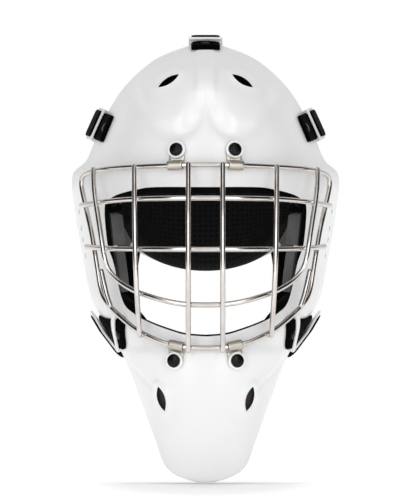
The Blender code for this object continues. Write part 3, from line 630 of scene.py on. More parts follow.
# ---- the shell's surface -------------------------------------------------------------------
def skin(station, across):
    """Points of the shell's plain outer face, in millimetres."""
    station, across = np.broadcast_arrays(np.asarray(station, float), np.asarray(across, float))
    values = catmull_rom(STATIONS, station)
    angle = np.abs(across) * math.pi / 2
    side = np.sin(angle) ** FULLNESS
    back = 1.0 - np.maximum(np.cos(angle), 0.0) ** FULLNESS
    x = np.sign(across) * values[..., 2] * side
    y = values[..., 0] + (values[..., 3] - values[..., 0]) * back
    z = values[..., 1] + (values[..., 4] - values[..., 1]) * back
    return np.stack((x, y, z), axis=-1)


def skin_normal(station, across):
    """Outward unit normals of the plain outer face."""
    step = 0.02
    station, across = np.broadcast_arrays(np.asarray(station, float), np.asarray(across, float))
    high = np.minimum(station + step, LAST_STATION)
    low = np.maximum(station - step, 0.0)
    left = np.maximum(across - step, -1.0)
    right = np.minimum(across + step, 1.0)
    down = skin(high, across) - skin(low, across)
    over = skin(station, right) - skin(station, left)
    return unit(np.cross(down, over))


def cage_swell(x, z):
    """How far the cage stands out there, from 0 at its rim to 1 in its middle."""
    height = np.clip((z - CAGE_BOTTOM) / (CAGE_TOP - CAGE_BOTTOM), 0.0, 1.0)
    reach = np.clip(np.abs(x) / CAGE_HALF_WIDTH, 0.0, 1.0)
    return np.sin(math.pi * height) ** 1.1 * np.cos(math.pi / 2 * reach)


def skin_tree(offset, bulge=0.0, rows=280, columns=200):
    """A search tree over the face moved outward, with the cage's bulge added."""
    station, across = np.meshgrid(
        np.linspace(0, LAST_STATION, rows + 1), np.linspace(-1, 1, columns + 1), indexing="ij"
    )
    points = skin(station, across)
    rise = offset + bulge * cage_swell(points[..., 0], points[..., 2])
    points = points + skin_normal(station, across) * rise[..., None]
    return BVHTree.FromPolygons(
        [Vector(p) for p in points.reshape(-1, 3)], grid_faces(rows + 1, columns + 1)
    )


def face_hit(tree, x, z):
    """Where a line from the front meets the face, and the face's normal there."""
    hit, normal, _, _ = tree.ray_cast(Vector((x, -400.0, z)), Vector((0.0, 1.0, 0.0)))
    if normal.y > 0:
        normal = -normal
    return hit, normal


def segment_distance(x, z, first, second):
    """The distance to a straight piece of an outline in the front view."""
    (x0, z0), (x1, z1) = first, second
    dx, dz = x1 - x0, z1 - z0
    share = np.clip(((x - x0) * dx + (z - z0) * dz) / (dx * dx + dz * dz), 0.0, 1.0)
    return np.hypot(x - x0 - share * dx, z - z0 - share * dz)


def outline_distance(x, z, outline):
    """Signed distance to a closed outline in the front view, negative inside."""
    x = np.asarray(x, float)
    z = np.asarray(z, float)
    nearest = np.full(x.shape, 1e9)
    inside = np.zeros(x.shape, bool)
    for first, second in zip(outline, outline[1:] + outline[:1]):
        nearest = np.minimum(nearest, segment_distance(x, z, first, second))
        (x0, z0), (x1, z1) = first, second
        if z1 != z0:
            crosses = (z0 <= z) != (z1 <= z)
            inside ^= crosses & (x < x0 + (z - z0) * (x1 - x0) / (z1 - z0))
    return np.where(inside, -nearest, nearest)


def lens_outline(length, width, steps=12):
    """Two equal arcs that meet in points, as the outline of a vent."""
    radius = (length ** 2 / 4 + width ** 2 / 4) / width
    reach = math.asin(length / 2 / radius)
    upper = []
    for i in range(2 * steps + 1):
        angle = reach * (1 - i / steps)
        upper.append((radius * math.sin(angle), radius * math.cos(angle) - radius + width / 2))
    return upper + [(-x, -y) for x, y in upper[1:-1]]


def vent_outline(vent, side):
    """A vent's outline in the front view."""
    x, z, length, width, tilt = vent
    turn = math.radians(side * tilt)
    return [
        (side * x + px * math.cos(turn) - pz * math.sin(turn),
         z + px * math.sin(turn) + pz * math.cos(turn))
        for px, pz in lens_outline(length, width)
    ]


# Lower edge of the forehead's raised plateau, right half, from the middle outward
PLATEAU = [
    (0.0, 122.0), (7.0, 116.0), (11.5, 105.0), (18.5, 96.0), (29.0, 92.3), (40.0, 95.5),
    (48.5, 104.5), (55.5, 115.5), (62.5, 128.5), (72.0, 150.0),
]
# The fold that runs down each side of the chin, past the chin vent
JAW_FOLD = [(72.0, -104.0), (61.6, -121.0), (49.3, -133.0), (42.5, -142.0), (36.0, -158.0)]


def relief(x, y, z, facing):
    """Height of the pressed shapes above the plain face, in millimetres.

    Facing is how squarely the face looks to the front; the shapes run out towards the sides.
    """
    side = np.abs(x)
    loop = [tuple(p) for p in smooth_points(PLATEAU, 60)]
    loop = loop + [(72.0, 200.0), (-20.0, 200.0), (-20.0, 122.0)]
    plateau = outline_distance(side, z, loop)
    height = 3.0 * smoothstep(4.0, -7.0, plateau)
    height -= 2.0 * np.exp(-(((plateau - 7.5) / 4.6) ** 2))
    crest = smoothstep(11.0, 6.0, side) * smoothstep(104.0, 132.0, z) * smoothstep(-28.0, -46.0, y)
    height += 2.3 * crest
    for vent, rise in ((FOREHEAD_VENT, 1.6), (CHIN_VENT, 1.2)):
        gap = outline_distance(side, z, vent_outline(vent, 1))
        height += rise * np.exp(-(((gap - 2.4) / 2.6) ** 2)) * (gap > -3)
    fold = np.full(side.shape, 1e9)
    points = smooth_points(JAW_FOLD, 40)
    for first, second in zip(points, points[1:]):
        fold = np.minimum(fold, segment_distance(side, z, first, second))
    edge = np.interp(z, points[::-1, 1], points[::-1, 0])
    ends = smoothstep(-165.0, -140.0, z) * smoothstep(-98.0, -108.0, z)
    height += 1.1 * smoothstep(3.0, -2.0, side - edge) * ends * smoothstep(20.0, 44.0, side)
    height -= 1.3 * np.exp(-((fold / 1.8) ** 2)) * ends
    corner = np.abs(side - (89.5 - (52.0 - z) * 0.24))
    height -= 0.9 * np.exp(-((corner / 1.3) ** 2)) * smoothstep(24, 30, z) * smoothstep(54, 50, z)
    brow = np.abs(side - 55.5)
    height -= 0.8 * np.exp(-((brow / 2.4) ** 2)) * smoothstep(36, 40, z) * smoothstep(58, 52, z)
    return height * smoothstep(0.12, 0.42, facing)


def front_prism(shape, near, far):
    """Vertices and faces of an outline in the front view, drawn out between two values of y."""
    verts, faces = prism(shape, 0.0, far - near)
    facing = Matrix.Rotation(math.radians(90), 4, "X")
    return placed(verts, Matrix.Translation(Vector((0, far * MM, 0))) @ facing), faces


def port_prism(rise):
    """The eye port's cutter, raised by some millimetres."""
    port = smooth_points(PORT_OUTLINE, 90)
    outline = [(x, z + rise) for x, z in port] + [(-x, z + rise) for x, z in port[::-1][1:-1]]
    return front_prism(outline, -200.0, -20.0)


def make_shell(materials, frames):
    """The shell with its pressed shapes, eye port, vents and holes."""
    rows, columns = 176, 168
    station, across = np.meshgrid(
        np.linspace(0, LAST_STATION, rows + 1), np.linspace(-1, 1, columns + 1), indexing="ij"
    )
    plain = skin(station, across)
    normal = skin_normal(station, across)
    rise = relief(plain[..., 0], plain[..., 1], plain[..., 2], -normal[..., 1])
    edge = np.minimum(1 - np.abs(across), 0.02) / 0.02
    rounding = 0.9 * (1 - edge) ** 2
    front = plain + normal * (rise - rounding)[..., None]
    back = plain - normal * (SHELL_THICKNESS - rounding)[..., None]
    verts, faces = closed_sheet(front, back)
    shell = mesh_object("shell_skin", verts, faces, materials["shell"])
    cutters = [port_prism(0.0)]
    for side in (1, -1):
        for vent in (FOREHEAD_VENT, CHIN_VENT):
            cutters.append(front_prism(vent_outline(vent, side), -160.0, -40.0))
        for height in EAR_HOLE_HEIGHTS:
            stations = np.linspace(5.0, 8.5, 351)
            heights = skin(stations, EAR_HOLE_ACROSS)[:, 2]
            station_here = stations[np.argmin(np.abs(heights - height))]
            point = skin(station_here, side * EAR_HOLE_ACROSS)
            out = Vector(skin_normal(station_here, side * EAR_HOLE_ACROSS))
            cutters.append(round_cutter(EAR_HOLE_RADIUS, standing(point, out)))
    for point, out, reach, _ in frames.values():
        upright = frame_matrix(point, reach, out.cross(reach), out)
        cutters.append(round_cutter(HOLE_RADIUS, upright))
    cutter = joined("shell_cutter", cutters, materials["shell"])
    cut(shell, cutter, sharp=42.0)
    return settle(shell, "shell", ["shell"])


def round_cutter(radius, matrix):
    """A cylinder through the shell, its axis along the matrix's Z."""
    circle = [
        (radius * math.cos(2 * math.pi * i / 28), radius * math.sin(2 * math.pi * i / 28))
        for i in range(28)
    ]
    verts, faces = prism(circle, -CUTTER_REACH, CUTTER_REACH)
    return placed(verts, matrix), faces


# ---- cage ----------------------------------------------------------------------------------
RING_TOP = [(0.0, 59.0), (35.0, 58.2), (65.0, 57.0), (88.0, 55.4), (101.0, 53.0)]
RING_SIDE = [
    (108.0, 49.5), (109.3, 44.0), (108.8, 37.0), (103.8, 15.0), (99.9, -2.6),
    (95.5, -29.0), (92.8, -46.6), (89.6, -57.5),
]
RING_BOTTOM = [
    (84.5, -64.5), (77.4, -71.8), (68.6, -79.6), (59.8, -86.2), (46.6, -93.0),
    (33.4, -98.0), (17.6, -101.0), (0.0, -101.8),
]
UPPER_BAR = [(0.0, 29.7), (35.0, 29.5), (65.0, 28.6), (89.0, 26.6), (109.5, 23.4)]
MIDDLE_BAR = [(0.0, -15.2), (60.0, -15.0), (90.0, -14.2), (104.5, -12.6)]
LOWER_BAR = [
    (0.0, -63.9), (18.5, -63.2), (33.4, -60.7), (47.5, -56.8), (61.6, -51.8), (74.0, -44.6),
    (82.0, -37.2), (86.6, -30.0), (89.4, -19.0), (91.4, -6.0), (93.6, 8.0), (96.4, 26.0),
    (98.2, 42.0), (98.8, 55.2),
]
OUTER_STUB = [(91.6, -34.0), (89.6, -43.0), (86.8, -55.0), (83.6, -64.5)]
INNER_UPRIGHT = [(15.1, 59.6), (15.1, 30.0), (15.1, -15.0), (15.1, -63.0), (15.1, -104.0)]
OUTER_UPRIGHT = [(62.6, 57.8), (62.2, 28.0), (61.6, -15.0), (60.2, -52.0), (57.6, -91.0)]


def mirror_plan(half):
    """A plan of (x, z) points from the middle outward, made whole."""
    return [(-x, z) for x, z in reversed(half[1:])] + half


def cage_routes():
    """The middle line of every wire, by the name of its CAD node."""
    trees = [skin_tree(STANDOFF + LAYER * i, CAGE_BULGE) for i in range(3)]

    def place(x, z, layer):
        lower = int(min(layer, 1.999))
        first = face_hit(trees[lower], x, z)[0]
        second = face_hit(trees[lower + 1], x, z)[0]
        return np.array(first.lerp(second, layer - lower))

    def route(plan, count, layer_at, cyclic=False):
        flat = smooth_points(plan, count)
        points = np.array([place(x, z, layer_at(x, z)) for x, z in flat])
        if cyclic:
            points = points[:-1]
        for _ in range(4):
            if cyclic:
                points = (np.roll(points, 1, axis=0) + 2 * points + np.roll(points, -1, axis=0)) / 4
            else:
                points[1:-1] = (points[:-2] + 2 * points[1:-1] + points[2:]) / 4
        return points

    def upright_layer(x, z):
        bottom = -104.0 if abs(x) < 40.0 else -91.0
        from_rim = min(CAGE_TOP + 2 - z, z - bottom)
        return 1.0 + min(max(from_rim / 24.0, 0.0), 1.0)

    def lower_bar_layer(x, z):
        if z < -45.0:
            return 1.0
        if z < -25.0:
            return 1.0 + (z + 45.0) / 20.0
        return 1.0 + min(max((CAGE_TOP + 1 - z) / 22.0, 0.0), 1.0)

    ring_plan = mirror_plan(RING_TOP + RING_SIDE + RING_BOTTOM)
    routes = {
        "cage_perimeter": route(ring_plan, 361, lambda x, z: 0.0, cyclic=True),
        "cage_bar_upper": route(mirror_plan(UPPER_BAR), 121, lambda x, z: 1.0),
        "cage_bar_middle": route(mirror_plan(MIDDLE_BAR), 121, lambda x, z: 1.0),
        "cage_bar_lower": route(mirror_plan(LOWER_BAR), 241, lower_bar_layer),
    }
    for side, label in SIDES:
        for kind, plan in (("inner", INNER_UPRIGHT), ("outer", OUTER_UPRIGHT)):
            points = [(side * x, z) for x, z in plan]
            routes[f"cage_upright_{kind}_{label}"] = route(points, 85, upright_layer)
        stub = [(side * x, z) for x, z in OUTER_STUB]
        routes[f"cage_stub_{label}"] = route(stub, 21, lambda x, z: 1.0)
    return routes


def make_cage(materials, routes):
    """The wires, and a weld bead wherever two of them touch."""
    for node_name, points in routes.items():
        cyclic = node_name == "cage_perimeter"
        verts, faces = tube(points, WIRE_RADIUS, 20, cyclic)
        wire = mesh_object(node_name + "_wire", verts, faces, materials["chrome"])
        settle(wire, "shell", [node_name])
    beads = []
    names = sorted(routes)
    for i, first in enumerate(names):
        for second in names[i + 1:]:
            for spot, direction in touching(routes[first], routes[second]):
                beads.append(bead(spot, direction))
    welds = joined("cage_weld_beads", beads, materials["chrome"])
    settle(welds, "shell")


def touching(first, second):
    """Midpoints, and directions between the wires, where two wires come closest."""
    gaps = np.linalg.norm(first[:, None, :] - second[None, :, :], axis=2)
    found = []
    while True:
        i, j = np.unravel_index(np.argmin(gaps), gaps.shape)
        if gaps[i, j] > 2 * WIRE_RADIUS + 1.8:
            return found
        found.append(((first[i] + second[j]) / 2, unit(second[j] - first[i])))
        gaps[np.linalg.norm(first - first[i], axis=1) < 14.0, :] = 1e9


def bead(spot, direction):
    """A small rounded weld between two wires, flat along the line that joins them."""
    profile = [
        (2.15 * math.sin(math.pi * i / 8), 1.7 * math.cos(math.pi * i / 8)) for i in range(9)
    ]
    verts, faces = lathe(profile, 14)
    return placed(verts, standing(spot, direction)), faces


# ---- cage fasteners ------------------------------------------------------------------------
def clip_frames(ring, face):
    """Frames of the four cage clips: origin on the shell, then out, towards the wire, along it."""
    ring = [Vector(p) for p in ring[::5]]
    frames = {}
    for label, (x, z), side in (
        ("top_left", SCREW_TOP, -1), ("top_right", SCREW_TOP, 1),
        ("bottom_left", SCREW_BOTTOM, -1), ("bottom_right", SCREW_BOTTOM, 1),
    ):
        point, normal = face_hit(face, side * x, z)
        towards = -1 if z > 0 else 1
        near = [i for i, p in enumerate(ring) if (p.z - z) * towards > 0 and p.z * z > 0]
        closest = min(near, key=lambda i: (ring[i] - point).length)
        tangent = (ring[(closest + 1) % len(ring)] - ring[closest - 1]).normalized()
        along = (tangent - normal * tangent.dot(normal) * 0.5).normalized()
        normal = (normal - along * normal.dot(along)).normalized()
        reach = normal.cross(along)
        if reach.z * towards < 0:
            reach = -reach
        frames[label] = (point, normal, reach, wire_crossing(ring, closest, point, along))
    return frames


def wire_crossing(ring, closest, point, along):
    """Where the perimeter wire crosses the plane through a point, square to a direction."""
    count = len(ring)
    for i in range(closest - 3, closest + 4):
        a = ring[i % count]
        b = ring[(i + 1) % count]
        before = (a - point).dot(along)
        after = (b - point).dot(along)
        if before * after <= 0.0 and before != after:
            return a.lerp(b, before / (before - after))
    return ring[closest]


def bent_sheet(line, thickness, width):
    """A strip bent along a line in XY, its width along Z, round at the end behind the screw."""
    line = np.asarray(line, float)
    ahead = unit(np.gradient(line, axis=0))
    across = np.stack((-ahead[:, 1], ahead[:, 0]), axis=1) * thickness / 2
    behind = np.minimum(line[:, 0], 0.0)
    half = np.sqrt(np.maximum((CLIP_WIDTH / 2 + 0.5) ** 2 - behind ** 2, 1.0))
    half = np.minimum(half, width / 2)
    places = np.linspace(-1.0, 1.0, 9)[None, :] * half[:, None]
    sides = []
    for shift in (across, -across):
        flat = np.repeat((line + shift)[:, None, :], 9, axis=1)
        sides.append(np.concatenate((flat, places[..., None]), axis=2))
    return closed_sheet(*sides)


def make_fasteners(materials, frames):
    """The four cage clips with their screws, washers and tee-nuts."""
    clip_middle = CLIP_LOW + CLIP_SHEET / 2
    washer_low = CLIP_LOW + CLIP_SHEET + GAP
    head_low = washer_low + WASHER_HEIGHT + GAP
    for label, (point, normal, reach, wire_place) in frames.items():
        distance = (wire_place - point).dot(reach)
        height = (wire_place - point).dot(normal)
        wrap = WIRE_RADIUS + 0.75 + CLIP_SHEET / 2
        corners = [(-7.0, clip_middle), (distance - wrap - 2.6, clip_middle)]
        corners.append((distance - wrap - 1.1, clip_middle + 0.25))
        for i in range(25):
            angle = math.radians(160.0 - 235.0 * i / 24)
            corners.append((distance + wrap * math.cos(angle), height + wrap * math.sin(angle)))
        line = smooth_points(corners, 60)
        verts, faces = bent_sheet(line, CLIP_SHEET, CLIP_WIDTH)
        clip = mesh_object(f"cage_clip_{label}_sheet", verts, faces, materials["clip"])
        clip.matrix_world = frame_matrix(point, reach, normal, reach.cross(normal))
        bevelled(clip, 0.3, 2, 50.0)
        settle(clip, "shell", [f"cage_clip_{label}"])
        upright = frame_matrix(point, reach, normal.cross(reach), normal)
        top = washer_low + WASHER_HEIGHT
        rim = [(HOLE_RADIUS, top - 0.9), (HEAD_RADIUS + 0.1, top - 0.75)]
        rim += [(HEAD_RADIUS + 0.3, top + 0.35), (HEAD_RADIUS + 0.6, top + 0.5)]
        rim += [(WASHER_RADIUS - 0.6, top + 0.35), (WASHER_RADIUS - 0.1, top)]
        rim += [(WASHER_RADIUS, top - 0.5)]
        rim += [(WASHER_RADIUS, washer_low + 0.3), (WASHER_RADIUS - 0.3, washer_low)]
        rim += [(HOLE_RADIUS, washer_low)]
        verts, faces = lathe(rim, 48)
        washer = mesh_object(f"washer_{label}_cup", verts, faces, materials["nylon"], sharp=40.0)
        washer.matrix_world = upright
        settle(washer, "shell", [f"washer_{label}"])
        screw = make_screw(f"cage_screw_{label}_head", head_low, materials["screw"])
        screw.matrix_world = upright
        settle(screw, "shell", [f"cage_screw_{label}"])
        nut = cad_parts[f"tee_nut_{label}"]
        repaint(nut, materials["zinc"])


def make_screw(name, head_low, material):
    """A domed screw with a cross recess, standing along Z."""
    nut_end = -SHELL_THICKNESS - 1.5 - 1.4 - 0.7
    profile = [(0.0, head_low + HEAD_HEIGHT)]
    for i in range(1, 9):
        angle = math.pi / 2 * i / 9
        profile.append((
            HEAD_RADIUS * math.sin(angle),
            head_low + 0.7 + (HEAD_HEIGHT - 0.7) * math.cos(angle),
        ))
    profile += [(HEAD_RADIUS, head_low + 0.6), (HEAD_RADIUS - 0.25, head_low)]
    profile += [(SCREW_RADIUS, head_low), (SCREW_RADIUS, nut_end + 0.5)]
    profile += [(SCREW_RADIUS - 0.5, nut_end), (0.0, nut_end)]
    verts, faces = lathe(profile, 36)
    screw = mesh_object(name, verts, faces, material)
    arm, half, deep = 2.7, 0.55, head_low + HEAD_HEIGHT - 1.7
    cross = [
        (half, -arm), (half, -half), (arm, -half), (arm, half), (half, half), (half, arm),
        (-half, arm), (-half, half), (-arm, half), (-arm, -half), (-half, -half), (-half, -arm),
    ]
    verts, faces = prism(cross, deep, head_low + HEAD_HEIGHT + 2)
    cutter = mesh_object(name + "_recess", verts, faces, material)
    return cut(screw, cutter, sharp=35.0)


def repaint(node, material):
    """Gives a CAD node's object a finished material."""
    node.data.materials.clear()
    node.data.materials.append(material)


# ---- padding -------------------------------------------------------------------------------
def pad_profile(share, rim=0.16):
    """Thickness across a pad, from 0 at its edge to 1 inside, with a round shoulder."""
    near = np.clip(np.minimum(share, 1 - share) / rim, 0.0, 1.0)
    return np.sqrt(1 - (1 - near) ** 2)


def make_pad(
    name, stations, across, depth, thickness, material, seams=(), corner=0.12, rim=0.16, droop=0.0
):
    """A crowned pad on the shell's inside; seams are shares of its width with a sewn channel."""
    rows, columns = 44, 72
    down, over = np.meshgrid(
        np.linspace(0, 1, rows + 1), np.linspace(0, 1, columns + 1), indexing="ij"
    )
    pinch_over = 0.5 + (over - 0.5) * (1 - corner * np.abs(2 * down - 1) ** 5)
    pinch_down = 0.5 + (down - 0.5) * (1 - corner * np.abs(2 * over - 1) ** 5)
    low = stations[1] + droop * (2 * over - 1) ** 4
    station = stations[0] + (low - stations[0]) * pinch_down
    place = across[0] + (across[1] - across[0]) * pinch_over
    base = skin(station, place)
    normal = skin_normal(station, place)
    thick = thickness * (0.25 + 0.75 * pad_profile(down, rim) * pad_profile(over, rim * 0.6))
    for seam in seams:
        thick = thick * (1 - 0.42 * np.exp(-(((over - seam) / 0.012) ** 2)))
    front = base - normal * depth
    back = base - normal * (depth + thick)[..., None]
    verts, faces = closed_sheet(front, back)
    return mesh_object(name, verts, faces, material, sharp=60.0)


def make_temple_flap(label, side, materials):
    """The thin felt wedge behind a temple strip."""
    down, over = np.meshgrid(np.linspace(0, 1, 15), np.linspace(0, 1, 5), indexing="ij")
    inner = 76.0 - 11.0 * np.minimum(down / 0.8, 1.0) + 3.0 * np.maximum(down - 0.8, 0.0) / 0.2
    width = inner + (78.0 - inner) * over
    front = np.stack((side * width, -14.5 + 0 * over, 12.0 - 26.0 * down), axis=-1)
    back = front + np.array((0.0, 1.5, 0.0))
    if side < 0:
        front, back = front[:, ::-1], back[:, ::-1]
    verts, faces = closed_sheet(front, back)
    flap = mesh_object(f"temple_flap_{label}", verts, faces, materials["felt"])
    settle(flap, "shell")


def make_vent_shade_sheet(label, side, materials):
    """A thin brown-grey sheet behind a chin vent: painted shade for the vent's dark inside."""
    station, across = np.meshgrid(
        np.linspace(9.7, 11.2, 21), np.linspace(0.26, 0.60, 17) * side, indexing="ij"
    )
    base = skin(station, across)
    normal = skin_normal(station, across)
    front, back = base - normal * 5.4, base - normal * 5.9
    if side < 0:
        front, back = front[:, ::-1], back[:, ::-1]
    verts, faces = closed_sheet(front, back)
    shade_sheet = mesh_object(f"vent_shade_sheet_{label}", verts, faces, materials["painted_shade"])
    settle(shade_sheet, "shell")


SIDE_PADS = {
    "temple_pad": ((5.15, 7.45), (0.575, 0.88), 4.6, 6.5),
    "temple_strip": ((5.86, 6.5), (0.585, 0.74), 11.5, 12.5),
    "jaw_strip": ((6.53, 7.42), (0.57, 0.74), 11.5, 9.5),
    "jaw_pad": ((7.6, 8.85), (0.60, 0.80), 4.6, 25.0),
}


def make_padding(materials):
    """Forehead, crown, chin, temple and jaw pads, and the grey comfort strips on them."""
    black = materials["foam"]
    pad = make_pad(
        "forehead_cushion", (2.75, 5.36), (-0.57, 0.57), 7.4, 11.0, black, (0.27, 0.5, 0.73),
        corner=0.05, droop=FOREHEAD_DROOP,
    )
    settle(pad, "shell", ["forehead_pad"])
    piping = []
    for share in np.linspace(-0.55, 0.55, 61):
        station = 5.28 + FOREHEAD_DROOP * (share / 0.57) ** 4
        piping.append(skin(station, share) - skin_normal(station, share) * 17.8)
    verts, faces = tube(piping, 0.5, 8)
    cord = mesh_object("forehead_piping", verts, faces, materials["foam_grey"])
    settle(cord, "shell")
    pad = make_pad("crown_cushion", (0.75, 2.35), (-0.45, 0.45), 5.2, 10.0, black, (0.5,))
    settle(pad, "shell", ["crown_pad"])
    pad = make_pad("chin_cushion", (7.9, 11.3), (-0.55, 0.55), 7.7, 7.0, black, rim=0.06)
    verts, faces = port_prism(CHIN_PAD_RISE)
    cut(pad, mesh_object("chin_cushion_cutter", verts, faces, black), 60.0)
    settle(pad, "shell", ["chin_pad"])
    for side, label in SIDES:
        pad = make_pad(
            f"temple_block_{label}", (5.62, 5.85), sorted((side * 0.585, side * 0.74)), 11.5, 12.5,
            black, corner=0.0, rim=0.08,
        )
        settle(pad, "shell", [f"temple_strip_{label}"])
        make_vent_shade_sheet(label, side, materials)
        make_temple_flap(label, side, materials)
        for name, (stations, across, depth, thickness) in SIDE_PADS.items():
            grey = name.endswith("strip")
            material = materials["foam_grey"] if grey else black
            places = sorted(side * share for share in across)
            seams = (0.42,) if name == "temple_strip" else ()
            pad = make_pad(
                f"{name}_{label}_cushion", stations, places, depth, thickness, material, seams,
                corner=0.05 if grey else 0.10, rim=0.10 if grey else 0.16,
            )
            settle(pad, "shell", [f"{name}_{label}"])


# ---- backplate -----------------------------------------------------------------------------
def back_point(across, height, inward=0.0):
    """Points of the backplate's outer face; across and height run from -1 to 1."""
    across, height = np.broadcast_arrays(np.asarray(across, float), np.asarray(height, float))
    high = np.maximum(height, 0.0)
    low = np.minimum(height, 0.0)
    taper = 1.0 - 0.10 * height - 0.30 * high ** 2 - 0.12 * low ** 2
    angle = across * BACK_ARC
    forward = 24.0 * high ** 2 + 9.0 * low ** 2
    smile = BACK_SMILE * low ** 2 * (1.0 - np.cos(angle))
    half_width = BACK_HALF_WIDTH * taper - inward
    depth = BACK_DEPTH * (0.55 + 0.45 * taper) - inward
    return np.stack((
        half_width * np.sin(angle) / math.sin(BACK_ARC),
        BACK_CENTRE_Y - forward + depth * np.cos(angle),
        BACK_MIDDLE_Z + BACK_HALF_HEIGHT * height + smile,
    ), axis=-1)


def back_normal(across, height, inward=0.0):
    """Outward unit normals of the backplate's face."""
    step = 0.01
    over = back_point(across + step, height, inward) - back_point(across - step, height, inward)
    up = back_point(across, height + step, inward) - back_point(across, height - step, inward)
    return unit(np.cross(over, up))


def back_grid(spread, rows, columns):
    """Places across and up the backplate, drawn in at its corners."""
    height, across = np.meshgrid(
        np.linspace(spread, -spread, rows + 1), np.linspace(spread, -spread, columns + 1),
        indexing="ij",
    )
    return across * (1.0 - 0.16 * np.abs(height) ** 6), height


def make_backplate(materials):
    """The rigid backplate with its rolled rim and slots, and its pad."""
    across, height = back_grid(1.0, 72, 96)
    normal = back_normal(across, height)
    if normal[36, 48, 1] < 0:
        normal = -normal
    outer = back_point(across, height)
    rim = np.maximum(np.abs(across) / np.abs(across).max(axis=1, keepdims=True), np.abs(height))
    rib = 0.9 * np.exp(-(((rim - 0.93) / 0.035) ** 2))
    spine = 1.2 * smoothstep(0.16, 0.12, np.abs(across)) * smoothstep(0.92, 0.86, np.abs(height))
    front = outer + normal * (rib * 0.6 + spine - 0.4)[..., None]
    back = outer - normal * BACK_THICKNESS
    verts, faces = closed_sheet(front, back)
    plate = mesh_object("backplate_skin", verts, faces, materials["shell"])
    cutters = []
    for side in (1, -1):
        for level in (0.42, 0.08, -0.26):
            point = back_point(side * 0.42, level)
            out = Vector(back_normal(side * 0.42, level))
            verts, faces = prism(lens_outline(26.0, 6.5), -14.0, 14.0)
            cutters.append((placed(verts, standing(point, out)), faces))
    cut(plate, joined("backplate_cutter", cutters, materials["shell"]), sharp=42.0)
    settle(plate, "backplate", ["backplate"])
    across, height = back_grid(1.02, 60, 96)
    across = across * (1.0 + 0.05 * np.abs(across) ** 8)
    inward = BACK_THICKNESS + 2.2
    base = back_point(across, height, inward)
    normal = back_normal(across, height, inward)
    beyond = smoothstep(1.0, 1.035, np.abs(across))[..., None]
    sideways = np.stack((-np.sign(across), across * 0, across * 0), axis=-1)
    base = base - sideways * 6.5 * beyond
    if normal[30, 48, 1] < 0:
        normal = -normal
    down = np.linspace(0, 1, 61)[:, None]
    over = np.linspace(0, 1, 97)[None, :]
    thick = BACK_PAD_THICKNESS * (0.3 + 0.7 * pad_profile(down, 0.10) * pad_profile(over, 0.07))
    verts, faces = closed_sheet(base, base - normal * thick[..., None])
    pitch = 4.2
    uvs = np.stack(np.broadcast_arrays(over * 168.0 / pitch, down * 136.0 / pitch), axis=-1)
    uvs = np.concatenate((uvs.reshape(-1, 2), uvs.reshape(-1, 2)))
    pad = mesh_object("backplate_cushion", verts, faces, materials["foam_dimpled"], uvs, 60.0)
    settle(pad, "backplate", ["backplate_pad"])


# ---- harness -------------------------------------------------------------------------------
def hook_frame(label, side):
    """A hook's middle, its axes (rearward, outward, along the edge) and the rear edge's place."""
    if label == "top":
        station, across, lift = TOP_HOOK_STATION, 0.0, TOP_HOOK_LIFT
        edge = skin(0.0, np.linspace(-1, 1, 41))
    else:
        station, across, lift = HOOK_STATIONS[label.split("_")[0]], side * HOOK_ACROSS, GAP
        edge = skin(np.linspace(station - 1.5, station + 1.5, 61), side)
    out = Vector((0, 0, 1)) if label == "top" else Vector(skin_normal(station, across))
    middle = Vector(skin(station, across)) + out * lift
    rearward = Vector((0, 1, 0))
    if label.startswith("lower"):
        ahead = Vector(skin(station + 0.2, side)) - Vector(skin(station - 0.2, side))
        rearward = ahead.cross(out)
    back = (rearward - out * rearward.dot(out)).normalized()
    if back.y < 0:
        back = -back
    along = out.cross(back)
    covered = [
        place for place in (Vector(point) - middle for point in edge)
        if abs(place.dot(along)) < HOOK_WIDTH / 2 + 1.5
    ]
    reach = max(place.dot(back) for place in covered)
    drop = max(-place.dot(out) for place in covered)
    return middle, back, out, along, reach, drop


def hook_outline(reach, drop):
    """The hook's side view: a plate over the shell, a lip behind its edge and a return below."""
    lip = reach + LIP_CLEARANCE
    under = -drop - SHELL_THICKNESS - RETURN_CLEARANCE
    tip = reach - RETURN_LENGTH
    behind = lip + HOOK_SHEET
    return [
        (-HOOK_FRONT, PLATE_LOW), (lip, PLATE_LOW), (lip, under), (tip, under),
        (tip, under - HOOK_SHEET), (behind, under - HOOK_SHEET), (behind, PLATE_LOW),
        (lip + HOOK_TAIL, PLATE_LOW), (lip + HOOK_TAIL, PLATE_HIGH), (-HOOK_FRONT, PLATE_HIGH),
    ]


def on_face(face, frame_axes, behind, beside):
    """The shell's point and normal under a place on a tangent frame."""
    middle, back, out, along = frame_axes
    above = middle + back * behind + along * beside + out * HOOK_WIDTH
    hit, normal, _, _ = face.ray_cast(above, -out)
    return hit, normal if normal.dot(out) > 0 else -normal


